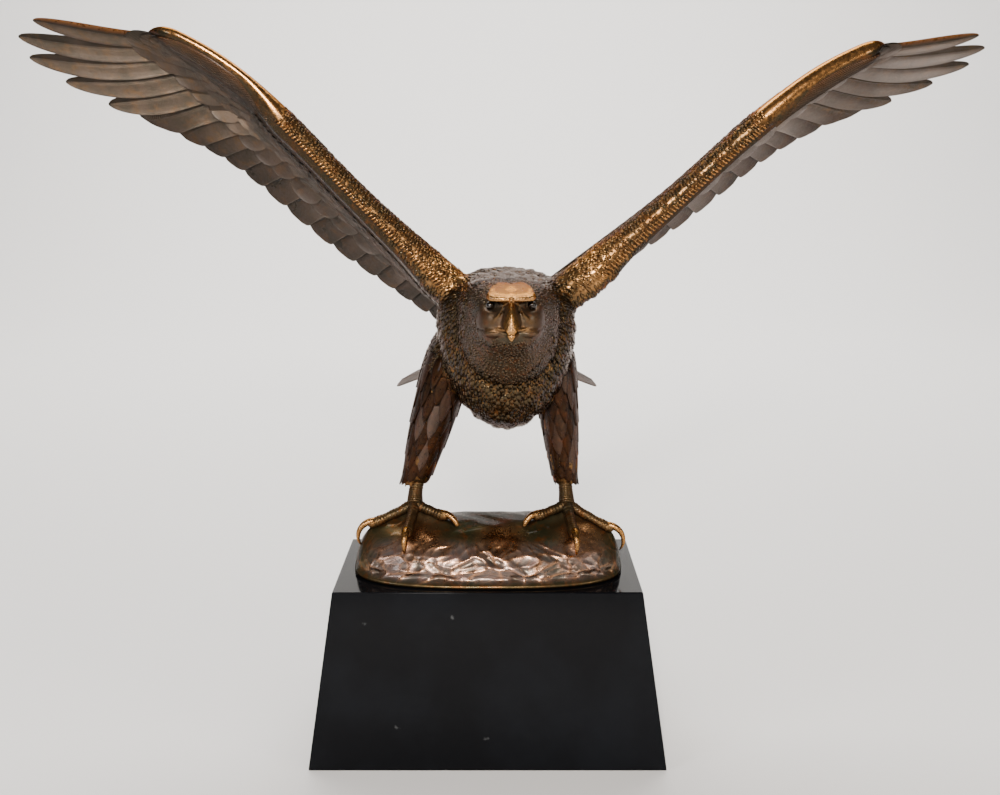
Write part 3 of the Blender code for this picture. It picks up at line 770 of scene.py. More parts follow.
# Neck and head sections: share of the reach, then half-width, drop of crown and of throat.
HEAD_ROWS: Rows = [
    (-0.12, 1.34, 0.06, 1.38),
    (0.14, 1.20, 0.02, 1.20),
    (0.40, 1.08, 0.01, 1.02),
    (0.56, 1.00, 0.01, 1.00),
    (0.66, 0.88, 0.01, 0.91),
    (0.75, 0.76, 0.02, 0.78),
    (0.84, 0.68, 0.04, 0.66),
    (0.92, 0.59, 0.08, 0.58),
    (0.97, 0.46, 0.14, 0.52),
    (1.00, 0.26, 0.20, 0.46),
]

# Trouser sections from above the hip down: share of the height, half-width and half-depth.
THIGH_ROWS: Rows = [
    (-0.30, 0.20, 0.35),
    (-0.22, 0.62, 1.10),
    (-0.05, 0.96, 1.75),
    (0.12, 1.02, 1.90),
    (0.35, 0.94, 1.62),
    (0.62, 0.82, 1.14),
    (0.85, 0.66, 0.80),
    (1.00, 0.56, 0.64),
]

# Beak sections: share of the length, then half-width, drop of the ridge and of the edge.
BEAK_ROWS: Rows = [
    (0.00, 1.00, 0.00, 0.95),
    (0.30, 0.78, 0.01, 0.97),
    (0.55, 0.50, 0.10, 0.96),
    (0.75, 0.34, 0.25, 0.98),
    (0.90, 0.23, 0.48, 1.05),
    (0.98, 0.16, 0.74, 1.14),
    (1.03, 0.05, 1.00, 1.20),
]

# Rise of the leading edge above the horizontal, in degrees, at shares of the wing length.
EDGE_RISE: Rows = [(0.0, 38.5), (0.18, 39.5), (0.49, 44.5), (0.72, 35.5), (0.91, 23.0), (1.06, 20.0)]

# Arm sections at shares of the wing length: half-thickness as a share of half the thickness,
# and how far the section reaches back as a share of the chord.
ARM_ROWS: Rows = [
    (-0.10, 1.45, 0.42),
    (0.02, 1.50, 0.44),
    (0.14, 1.20, 0.41),
    (0.30, 1.00, 0.38),
    (0.50, 0.96, 0.37),
    (0.66, 1.04, 0.35),
    (0.80, 0.94, 0.27),
    (0.92, 0.80, 0.18),
    (0.965, 0.68, 0.12),
    (0.99, 0.44, 0.07),
    (1.005, 0.16, 0.03),
]

# Flight feathers from the outermost in: tip along and behind the leading edge, direction of
# the tip in degrees away from the edge, root along the edge, and width in feather widths.
FLIGHT_ROWS: Rows = [
    (0, 1.309, 0.179, 11.0, 0.90, 0.62),
    (1, 1.350, 0.264, 13.0, 0.87, 0.80),
    (2, 1.321, 0.329, 15.0, 0.83, 0.86),
    (3, 1.220, 0.366, 21.0, 0.77, 0.90),
    (4, 1.098, 0.386, 29.0, 0.71, 0.96),
    (5, 0.967, 0.394, 37.0, 0.65, 1.04),
    (6, 0.846, 0.402, 50.0, 0.61, 1.10),
    (7, 0.758, 0.398, 60.0, 0.575, 1.16),
    (8, 0.672, 0.393, 70.0, 0.535, 1.20),
    (9, 0.588, 0.389, 76.0, 0.49, 1.22),
    (11, 0.422, 0.380, 81.0, 0.36, 1.22),
    (13, 0.268, 0.362, 84.0, 0.22, 1.16),
    (15, 0.130, 0.342, 87.0, 0.10, 1.06),
    (17, 0.010, 0.332, 92.0, 0.01, 0.96),
    (19, -0.120, 0.310, 98.0, -0.08, 0.90),
]

# How far the first row of coverts reaches towards the tip of each flight feather.
COVERT_REACH: Rows = [
    (0, 0.38),
    (1, 0.40),
    (2, 0.38),
    (3, 0.40),
    (4, 0.48),
    (5, 0.56),
    (6, 0.62),
    (7, 0.67),
    (9, 0.73),
    (24, 0.73),
]


def arm_bow(x: Any) -> np.ndarray:
    """Height of the arm's section over its middle line, at places from its nose to its end."""
    x = np.asarray(x, float)
    return 2.95 * (np.sqrt(x) - 0.424 * x - 1.184 * x**2 + 0.957 * x**3 - 0.349 * x**4)


@dataclass
class WingSurface:
    """A bent surface behind a wing's leading edge, the same as the solid's.

    A place on it is how far along the edge it is, how far behind it, and how far off the surface on
    the upper side.
    """

    sizes: Sizes
    side: Side
    lift: float
    sweep: float
    bank: float
    bank_tip: float
    hand_thin: float = 0.42
    steps: int = 240
    camber: float = 0.0035
    nose_drop: float = 0.0052
    nose_reach: float = 0.034
    shoulder_shift: float = 0.007
    shoulder_rise: float = 0.0042
    shoulder_tilt: float = 0.0032
    shoulder_spread: float = 0.405

    def __post_init__(self) -> None:
        """Walks along the leading edge from the shoulder."""
        size, sign = self.sizes, self.side.value
        point = np.array(
            (
                size.body_shift + self.shoulder_shift + sign * size.body_width * self.shoulder_spread,
                0.0,
                size.back_z + self.shoulder_rise + sign * self.shoulder_tilt,
            )
        )
        turn = math.radians(self.sweep)
        flat = np.array((sign * math.cos(turn), math.sin(turn), 0.0))
        points, headings = [point], []
        for i in range(self.steps):
            rise = math.radians(along(EDGE_RISE, (i + 0.5) / self.steps)[0] + self.lift)
            headings.append(flat * math.cos(rise) + UP * math.sin(rise))
            points.append(points[-1] + headings[-1] * (size.wing_length / self.steps))
        headings.append(headings[-1])
        self.points, self.headings = np.array(points), np.array(headings)

    def place(self, share: Any, behind: Any, off: Any) -> np.ndarray:
        """Finds points on the wing.

        Args:
            share: Place along the edge as a share of the wing length.
            behind: Distance behind the edge.
            off: Height off the surface on the upper side.

        Returns:
            The points, on a last axis of three.
        """
        share, behind, off = np.broadcast_arrays(
            np.asarray(share, float), np.asarray(behind, float), np.asarray(off, float)
        )
        inside = np.clip(share, 0.0, 1.0)
        marks = np.linspace(0, 1, self.steps + 1)
        heading = unit(np.stack([np.interp(inside, marks, self.headings[:, k]) for k in range(3)], -1))
        point = np.stack([np.interp(inside, marks, self.points[:, k]) for k in range(3)], -1)
        point = point + heading * ((share - inside) * self.sizes.wing_length)[..., None]
        back = unit(DEEP - heading * heading[..., 1:2])
        under = np.cross(heading, back)
        under = under * np.where(under[..., 2:3] < 0, 1.0, -1.0)
        bank = np.radians(self.bank + (self.bank_tip - self.bank) * inside)[..., None]
        chord = back * np.cos(bank) + under * np.sin(bank)
        normal = back * np.sin(bank) - under * np.cos(bank)
        return point + chord * behind[..., None] + normal * (off + self.arch(share, behind))[..., None]

    def arch(self, share: np.ndarray, behind: np.ndarray) -> np.ndarray:
        """How far the surface bows up behind the edge. The hand is flatter than the arm."""
        fade = np.clip((1.1 - share) / 0.4, 0, 1)
        bow = self.camber * fade * np.sin(math.pi * np.clip(behind / self.sizes.chord, 0, 1))
        nose = np.clip(1 - np.maximum(behind, 0) / self.nose_reach, 0, None)
        return bow - self.nose_drop * (0.35 + 0.65 * fade) * nose * nose

    def arm_point(self, share: Any, x: Any, under: Any, swell: Any = 1.0, ridge: Any = 0.0) -> np.ndarray:
        """Finds points on the thick feathered arm.

        Args:
            share: Place along the edge.
            x: Place on the section from its nose, 0, to its end, 1.
            under: Whether the point is on the under side.
            swell: Thickness as a share of the solid's.
            ridge: Height of the ridge under the arm's front; a groove of twice that follows it.

        Returns:
            The points.
        """
        nose, reach = self.arm_size(share)
        drop = np.maximum(0.0, nose * 1.13 - self.sizes.arm_top) * self.slim(share)
        bow = arm_bow(x) * nose * 1.13 * swell * self.slim(share)
        lip = np.exp(-(((x - 0.066) / 0.020) ** 2)) - 2.1 * np.exp(-(((x - 0.165) / 0.065) ** 2))
        bow = np.where(under, -bow - ridge * lip, bow)
        return self.place(share, (x * (nose + reach) - nose) * swell, bow - drop)

    def slim(self, share: Any) -> np.ndarray:
        """How thick the arm is as a share of the solid's: the hand thins behind its rounded edge."""
        return 1 - self.hand_thin * ease(0.56, 0.74, share)

    def arm_size(self, share: Any) -> tuple[np.ndarray, np.ndarray]:
        """Returns the arm's reach ahead of and behind the edge's line at shares."""
        grid = np.linspace(-0.10, 1.005, 90)
        rows = np.array([along(ARM_ROWS, t) for t in grid])
        nose = np.interp(share, grid, rows[:, 0]) * self.sizes.arm_thickness / 2
        return nose, np.interp(share, grid, rows[:, 1]) * self.sizes.chord

    def ride(self, share: Any, behind: Any, face: Face) -> np.ndarray:
        """Height at which a feather lies on the arm, and on the slope that leads off behind it.

        Args:
            share: Place along the edge.
            behind: Distance behind it.
            face: The face that the feather lies on.

        Returns:
            The heights off the wing's surface.
        """
        nose, reach = self.arm_size(share)
        drop = np.maximum(0.0, nose * 1.13 - self.sizes.arm_top) * self.slim(share)
        bow = arm_bow(np.clip((behind + nose) / (nose + reach), 0, 1)) * nose * 1.13 * self.slim(share)
        fade = (1 - ease(-0.002, 0.024, behind - reach)) * (1 - ease(0.99, 1.05, share))
        if face is Face.UNDER:
            return -(bow + drop) * fade
        return np.maximum(0.0, bow - drop) * fade


@dataclass
class Wing:
    """One raised wing: its arm, and every feather on both faces."""

    sizes: Sizes
    surface: WingSurface
    name: str
    paleness: float = 0.5
    flights: int = 20
    primaries: int = 10
    quill_inset: float = 0.004
    covert_lift: float = 0.0014
    covert_step: float = 0.0008
    upper_step: float = 0.0005
    skin: float = 0.0004
    ridge: float = 0.0012
    stroke_pitch: float = 0.0026

    def arm(self) -> bpy.types.Object:
        """Builds the arm along the leading edge, with a ridge and a groove under its front face.

        Returns:
            The arm, with the marks that steer its small feathers.
        """
        shell = Shell()
        count = 80
        turn = (2 * math.pi * np.arange(count) / count)[None, :]
        front = (1 - np.cos(turn)) / 2
        under = np.sin(turn) < -1e-6
        shares = (-0.04 + 1.045 * np.sin(math.pi / 2 * np.arange(150) / 149))[:, None]
        ridge = self.ridge * ease(0.0, 0.08, shares) * (1 - ease(0.56, 0.66, shares))
        swell = 0.93 + 0.07 * ease(-0.02, 0.10, shares)
        rings = self.surface.arm_point(shares, front, under, swell, ridge)
        close = np.sqrt(1 - np.clip((shares - 0.925) / 0.0801, 0, 1) ** 2)
        middle = self.surface.place(shares, 0.010, -0.0024)
        rings = middle + (rings - middle) * close[..., None]
        scaly = 1 - ease(0.57, 0.63, shares)
        hand = 1 - scaly
        low = np.where(under, 1 - ease(0.062, 0.088, front), 1 - ease(0.12, 0.34, front))
        top = np.where(under, 1 - ease(0.015, 0.05, front), 1 - ease(0.15, 0.40, front))
        shoulder = np.exp(-(((shares - 0.03) / 0.09) ** 2))
        rub = low * scaly * (0.02 + 0.32 * shoulder) + top * hand * 0.8
        rub = np.clip(rub, 0, 1)
        groove = np.where(under, np.exp(-(((front - 0.15) / 0.06) ** 2)), 0.0)
        rise = np.minimum(1 - 0.80 * groove * scaly, np.where(under, 1 - 0.4 * ease(0.03, 0.09, front), 1.0))
        # Painted shade: the arm's turned-under side behind the groove is darkened, standing in for the shade
        # on the face that turns away from the light.
        tone = 0.5 - 0.45 * np.where(under, ease(0.05, 0.14, front), 0.0) * np.ones_like(shares)
        back = np.where(under, 0.0, 0.7 * (1 - ease(0.6, 0.9, front)))
        plumage = np.clip((low + back) * scaly, 0, 1)
        shell.loft(rings, rub=rub, rise=rise, tone=tone, plumage=plumage)
        self.add_strokes(shell)
        made = shell.build(self.name + "_arm")
        points = coordinates(made.data)
        marks = np.linspace(0, 1, self.surface.steps + 1)
        share = np.zeros(len(points))
        share[: shares.size * count] = np.repeat(np.clip(shares[:, 0], 0, 1), count)
        flow = np.stack([np.interp(share, marks, self.surface.headings[:, k]) for k in range(3)], -1)
        set_flow(made.data, flow)
        return made

    def add_strokes(self, shell: Shell) -> None:
        """Adds the row of short strokes across the ridge, as a graver cuts them."""
        count = int(0.60 * self.sizes.wing_length / self.stroke_pitch)
        for k in range(count):
            wave = float(scatter(k, 3, 7))
            share = 0.02 + 0.58 * (k + 0.3 * wave) / count
            x = np.linspace(0.022, 0.098 + 0.02 * wave, 7)
            ridge = self.ridge * float(ease(0.0, 0.08, share))
            line = self.surface.arm_point(share + 0.006 * np.linspace(-1, 1, 7), x, True, 1.0, ridge)
            girth = 0.00072 * np.array([0.3, 0.8, 1.0, 1.05, 1.0, 0.75, 0.3])
            shell.tube(line, girth, 8, rub=0.62, tone=0.5)

    def feather(
        self,
        shell: Shell,
        root: tuple[float, float],
        tip: tuple[float, float],
        angle: float,
        width: float,
        off: float = 0.0,
        roll: float = 7.0,
        blunt: float = 0.75,
        thick: float = 0.0021,
        shaft: float = 0.0,
        stations: int = 22,
        tone: float = 0.5,
        rub: float = 0.0,
        lead_rub: float = 0.0,
        taper: float = 2.2,
        slant: float = 0.0,
        hug: Face | None = None,
    ) -> None:
        """Adds a leaf-shaped feather with a raised shaft on a curved line.

        Args:
            shell: Where it goes.
            root: Its start, along and behind the leading edge.
            tip: Its end.
            angle: Direction of its end in degrees away from the edge.
            width: Its full width.
            off: How far off the wing's surface it lies.
            roll: How far its trailing side dips, in degrees.
            blunt: Share of its length where its tip starts to round.
            thick: Thickness.
            shaft: Place of the shaft across it, from -1 to 1.
            stations: Number of rings.
            tone: How light its patina is.
            rub: How far it is rubbed.
            lead_rub: How far its leading edge is rubbed.
            taper: How late its tip closes; a small number gives a long, pointed tip.
            slant: How far its tip is cut along the wing's edge, from 0, square, to 1.
            hug: The face of the arm that it lies on, if it does.
        """
        reach = math.hypot(tip[0] - root[0], tip[1] - root[1])
        turn = math.radians(angle)
        bend = (tip[0] - math.cos(turn) * reach * 0.5, tip[1] - math.sin(turn) * reach * 0.5)
        s = 1 - (1 - np.linspace(0, 1, stations + 1)) ** 1.25
        s = s[:, None]
        a = (1 - s) ** 2 * root[0] + 2 * s * (1 - s) * bend[0] + s * s * tip[0]
        b = (1 - s) ** 2 * root[1] + 2 * s * (1 - s) * bend[1] + s * s * tip[1]
        da = 2 * (1 - s) * (bend[0] - root[0]) + 2 * s * (tip[0] - bend[0])
        db = 2 * (1 - s) * (bend[1] - root[1]) + 2 * s * (tip[1] - bend[1])
        run = np.hypot(da, db)
        shape = 0.60 + 0.40 * np.sin(math.pi / 2 * np.minimum(1.0, s / 0.6))
        end = np.clip((s - blunt) / (1.002 - blunt), 0, 1)
        shape = shape * np.sqrt(np.maximum(0.0, 1 - end**taper))
        half = np.maximum(width / 2 * shape, thick * 0.25)
        edges = [-1, -0.94, -0.72, 0.0, 0.72, 0.94, 1]
        if not hug:
            edges += [-0.4, 0.4, shaft - 0.09, shaft, shaft + 0.09]
        top = np.unique(np.round(np.array(edges), 4))
        across = np.concatenate([top, top[::-1]])
        face = np.concatenate([np.ones(len(top)), -np.ones(len(top))])
        lens = 0.16 + 0.84 * (1 - np.abs(across) ** 2.6) ** 0.6
        spine = 0.42 * np.exp(-(((across - shaft) / 0.05) ** 2)) * (1 - 0.6 * s)
        level = face * (0.5 * lens + spine) * thick * np.minimum(1.0, 0.55 + 3.0 * (1 - s))
        u = half * across
        push = -slant * u * da / np.maximum(db, 0.3 * run) * ease(0.55, 1.0, s)
        share = (a - db / run * u + da / run * push) / self.sizes.wing_length
        behind = b + da / run * u + db / run * push
        if hug:
            bed = np.abs(self.surface.ride(share, behind, hug))
            sunk = np.minimum(0.0034, 0.0006 + 0.5 * bed) * (1 - ease(0.0, 0.5, s))
            off = hug.value * (np.maximum(abs(off), bed + self.skin + 0.15 * abs(off)) - sunk)
        lift = off + level - u * math.tan(math.radians(roll))
        ring = self.surface.place(share, behind, lift)
        edge = np.maximum(np.abs(across) ** 12, ease(0.96, 1.0, s)) * np.ones_like(u)
        barb = s * reach + np.abs(across - shaft) * half * 1.3
        lead = ease(-0.62, -0.80, across)[None, :] * (1 - 0.5 * s)
        rub_all = np.clip(rub + lead_rub * lead, 0, 1) * np.ones_like(u)
        # Painted shade: coverts on the arm run from dark at the root, which the row over them shades, to
        # light at the tip; every feather is also darkened towards its leading side, where its neighbour's
        # edge shades it. Flight feathers darken towards the tip.
        shade = tone + (0.55 * (s - 0.62) if hug else -0.22 * ease(0.72, 1.0, s)) * np.ones_like(u)
        shade = shade - 0.30 * (1 - ease(-0.5, 0.4, across))[None, :] * np.ones_like(u)
        shell.loft(ring, rub=rub_all, tone=np.clip(shade, 0, 1), rise=1 - 0.85 * edge, barb=barb)

    def covert_row(
        self, shell: Shell, reach: float, count: int, level: int, turn: float, wide: float
    ) -> None:
        """Adds one row of coverts on both faces.

        Args:
            shell: Where they go.
            reach: How far they reach as a share of the first row's.
            count: Number of feathers in the row.
            level: How many rows deep it lies.
            turn: How far they point out along the wing more than the flight feathers do, in degrees.
            wide: Their width as a share of the flight feathers'.
        """
        size = self.sizes
        for face in Face:
            for k in range(count):
                wave = float(scatter(k, level, face.value + 2))
                number = 0.5 + 18.5 * (k + 0.25 * (wave - 0.5)) / (count - 1)
                out, behind, angle, root, girth = along(FLIGHT_ROWS, number)
                share = along(COVERT_REACH, number)[0] * (reach + 0.03 * (wave - 0.5))
                hand = max(0.0, 1 - number / 7)
                tip = ((root + (out - root) * share) * size.wing_length, behind * size.wing_length * share)
                steer = angle - turn * (1 - 0.8 * hand)
                length = (0.030 + 0.016 * hand) * (1.20 - 0.17 * level)
                a, b = math.cos(math.radians(steer)), math.sin(math.radians(steer))
                start = (tip[0] - a * length * 0.92, max(self.quill_inset * 0.5, tip[1] - b * length))
                step = self.upper_step if face is Face.UPPER else self.covert_step
                self.feather(
                    shell,
                    start,
                    tip,
                    steer + 6 * (wave - 0.5),
                    size.feather_width * wide * girth * (0.94 + 0.12 * wave),
                    off=face.value * (self.covert_lift * (1 - hand) / level + step * level),
                    roll=(4.5 + 2 * wave) * (1 if face is Face.UNDER else 0.8),
                    blunt=0.50,
                    thick=size.feather_thickness * (0.80 - 0.07 * level),
                    stations=11 if face is Face.UNDER else 8,
                    taper=2.4,
                    tone=(self.paleness - 0.04 * level) * (1 - 0.45 * hand) + 0.25 * (wave - 0.5),
                    hug=face,
                )

    def feathers(self) -> bpy.types.Object:
        """Builds the flight feathers, the coverts on both faces and the thumb feathers.

        Returns:
            One object of closed feather skins.
        """
        shell = Shell()
        length = self.sizes.wing_length
        for k in range(self.flights):
            out, behind, angle, root, wide = along(FLIGHT_ROWS, k)
            primary = k < self.primaries
            self.feather(
                shell,
                (root * length, self.quill_inset),
                (out * length, behind * length),
                angle,
                self.sizes.feather_width * wide,
                roll=8.5,
                blunt=0.62 if k < 5 else 0.92,
                taper=1.9 if k < 5 else 2.6,
                slant=0.0 if k < 5 else 0.95,
                thick=self.sizes.feather_thickness * (1.15 if k == 0 else 0.85),
                shaft=-0.42 if primary else -0.12,
                stations=28,
                tone=self.paleness * (0.85 if k < 6 else 1.0) + 0.25 * (float(scatter(k, 5, 1)) - 0.5),
                lead_rub=0.95 if k == 0 else 0.0,
            )
        self.covert_row(shell, 1.00, 20, 1, 6.0, 1.00)
        self.covert_row(shell, 0.80, 24, 2, 14.0, 0.84)
        self.covert_row(shell, 0.64, 30, 3, 22.0, 0.64)
        self.covert_row(shell, 0.51, 36, 4, 30.0, 0.50)
        self.covert_row(shell, 0.40, 42, 5, 36.0, 0.40)
        # A thin sheet between the two faces fills the gaps between feathers; it is painted in the darkest
        # tone and as a hollow, so that the gaps read as painted shade.
        web = []
        for i in range(60):
            share = -0.10 + 1.04 * i / 59
            reach = self.trailing(share) * 0.84
            level = 0.12 * self.sizes.feather_thickness
            over = self.surface.place(share, reach * np.arange(10) / 9, level)
            below = self.surface.place(share, reach * np.arange(9, -1, -1) / 9, -level)
            web.append(np.concatenate([over, below]))
        shell.loft(web, tone=0.0, rise=0.1)
        thumb = (
            (0.62, 0.0010, 0.972, 0.0035, 0.0105, 0.0040, 0.25),
            (0.62, 0.0060, 0.948, 0.0105, 0.0105, 0.0034, 0.12),
            (0.61, 0.0115, 0.915, 0.0180, 0.0105, 0.0028, 0.06),
            (0.60, 0.0170, 0.870, 0.0250, 0.0100, 0.0024, 0.03),
        )
        for start, inset, end, behind, width, thick, rub in thumb:
            self.feather(
                shell,
                (start * length, inset),
                (end * length, behind),
                8.0,
                width,
                roll=6.0,
                blunt=0.76,
                thick=thick,
                stations=26,
                tone=0.12,
                rub=0.0,
                lead_rub=rub,
                hug=Face.UNDER,
            )
        return shell.build(self.name + "_feathers")

    def trailing(self, share: float) -> float:
        """Distance from the leading edge to the line of the feathers' ends at a share."""
        near, far = FLIGHT_ROWS[0], FLIGHT_ROWS[-1]
        for ahead, behind in zip(FLIGHT_ROWS, FLIGHT_ROWS[1:]):
            if behind[1] <= share < ahead[1]:
                near, far = ahead, behind
        mix = max(0.0, min(1.0, (share - far[1]) / (near[1] - far[1])))
        reach = far[2] + (near[2] - far[2]) * mix
        return reach * self.sizes.wing_length * (1 - 0.62 * max(0.0, min(1.0, (share - 0.70) / 0.32)))


@dataclass
class Torso:
    """Body, neck, rump, shoulders and feathered thighs, fused into one skin."""

    sizes: Sizes
    wings: Sequence[WingSurface]
    grain: float = 0.0021
    smoothing: int = 4
    tuft_height: float = 0.0008
    trouser_feathers: int = 9

    def thigh_line(self, side: Side) -> tuple[np.ndarray, np.ndarray, float]:
        """Finds a thigh's hip, ankle and girth share."""
        size, sign = self.sizes, side.value
        foot = Feet(size).foot(side)
        hip = np.array(
            (
                size.body_shift * 0.8 + sign * size.body_width * 0.376,
                size.body_width * 0.15,
                size.back_z - 0.53 * size.body_depth,
            )
        )
        inward = sign * size.shank_diameter * 0.08
        ankle = np.array((foot[0] - inward, size.body_width * 0.12, foot[2] + Feet.ankle_rise))
        return hip, ankle, 1.03 - 0.09 * sign

    def add_trunk(self, shell: Shell) -> None:
        """Adds the body's egg and the neck."""
        size = self.sizes
        rings = []
        for i in range(49):
            t = (1 - math.cos(math.pi * i / 48)) / 2
            width, top, belly = along(BODY_ROWS, t)
            high = size.back_z - top * size.body_depth
            low = size.back_z - belly * size.body_depth
            widest = low + (high - low) * 0.68
            centre = np.array((size.body_shift, size.body_length * t - size.breast_length, widest))
            half = width * size.body_width / 2
            rings.append(egg(centre, ACROSS, UP, half, high - widest, widest - low, 64, 2.3, 1.9))
        shell.loft(rings, plumage=1.0, size=1.0)
        rings = []
        for i in range(30):
            t = -0.12 + 0.86 * i / 29
            width, crown, throat = along(HEAD_ROWS, t)
            tuck = 1 - 0.08 * float(ease(0.60, 0.74, t))
            high = size.back_z - crown * size.neck_depth
            low = size.back_z - throat * size.neck_depth
            widest = low + (high - low) * 0.55
            sideways = size.body_shift + size.head_shift * max(t, 0.0)
            centre = np.array((sideways, -size.head_length * t, widest))
            half = width * size.neck_width / 2 * tuck
            upper_half, lower_half = (high - widest) * tuck, (widest - low) * tuck
            rings.append(egg(centre, ACROSS, UP, half, upper_half, lower_half, 56, 3.2, 2.1))
        shell.loft(rings, plumage=1.0, size=0.92)

    def add_thigh(self, shell: Shell, side: Side) -> None:
        """Adds a thigh and the long feathers that hang round its lower end."""
        size = self.sizes
        hip, ankle, girth_share = self.thigh_line(side)
        rings = []
        for i in range(36):
            t = -0.30 + 1.30 * i / 35
            wide, deep = along(THIGH_ROWS, t)
            deep *= size.thigh_width / 2
            half = wide * girth_share * size.thigh_width / 2
            rings.append(egg(hip + (ankle - hip) * t, ACROSS, DEEP, half, deep, deep, 40))
        shell.loft(rings, plumage=1 - ease(0.02, 0.16, np.linspace(-0.30, 1.0, 36)), tone=0.3)
        for k in range(self.trouser_feathers):
            turn = 2 * math.pi * (k + 0.5) / self.trouser_feathers
            for start, end in ((0.30, 0.78), (0.58, 1.10)):
                line, girth = [], []
                for t, thick in ((start, 0.5), ((start + end) / 2, 1.0), (end - 0.1, 0.8), (end, 0.25)):
                    wide, deep = along(THIGH_ROWS, min(t, 1.0))
                    centre = hip + (ankle - hip) * t
                    centre[0] += math.cos(turn) * wide * girth_share * size.thigh_width / 2 * 0.90
                    centre[1] += math.sin(turn) * deep * size.thigh_width / 2 * 0.90
                    line.append(centre)
                    girth.append(thick * size.thigh_width * 0.095)
                shell.tube(curve(line, 14), curve(np.array(girth)[:, None], 14)[:, 0], 12, tone=0.3)

    def build(self) -> bpy.types.Object:
        """Builds the fused skin with its marks and flow.

        Returns:
            The body.
        """
        shell = Shell()
        self.add_trunk(shell)
        for side in Side:
            self.add_thigh(shell, side)
        turn = (2 * math.pi * np.arange(48) / 48)[None, :]
        front, under = (1 - np.cos(turn)) / 2, np.sin(turn) < -1e-6
        shares = np.linspace(-0.10, 0.24, 40)[:, None]
        swell = 1.0 - 0.22 * ease(0.06, 0.22, shares)
        bright = np.where(under, 1 - ease(0.05, 0.12, front), 1 - ease(0.15, 0.45, front))
        rub = 0.70 * bright * np.exp(-(((shares - 0.03) / 0.07) ** 2))
        for surface in self.wings:
            rings = surface.arm_point(shares, front, under, swell)
            shell.loft(rings, plumage=0.9, size=0.75, rub=rub)
        made = fuse(shell, "body", self.grain, self.smoothing)
        mesh = made.data
        points, facing = coordinates(mesh), normals(mesh)
        x, y, z = points.T
        tuft = np.sin(x * 400 + 1.7 * np.sin(z * 250)) * np.sin(z * 390 + y * 160 + 1.4 * np.sin(x * 310))
        points = points + facing * (self.tuft_height * tuft * mark_values(mesh, "plumage"))[:, None]
        mesh.vertices.foreach_set("co", points.astype(np.float32).ravel())
        mesh.update()
        flow = np.broadcast_to(np.array((0.0, 0.62, -0.90)), points.shape).copy()
        flow[:, 2] += 0.75 * np.clip(facing[:, 2], 0, 1)
        for surface in self.wings:
            start = surface.points[0]
            near = np.exp(-(np.linalg.norm(points - start, axis=1) / 0.022) ** 2)[:, None]
            flow = flow * (1 - near) + surface.headings[0] * near * 1.4
        set_flow(mesh, flow)
        return made


def curve(points: Any, count: int) -> np.ndarray:
    """Reads a smooth curve through points.

    Args:
        points: Rows of coordinates.
        count: Number of points to read.

    Returns:
        The points on the curve.
    """
    given = np.asarray(points, float)
    rows = [(float(i), *row) for i, row in enumerate(given)]
    return np.array([along(rows, t) for t in np.linspace(0, len(given) - 1, count)])


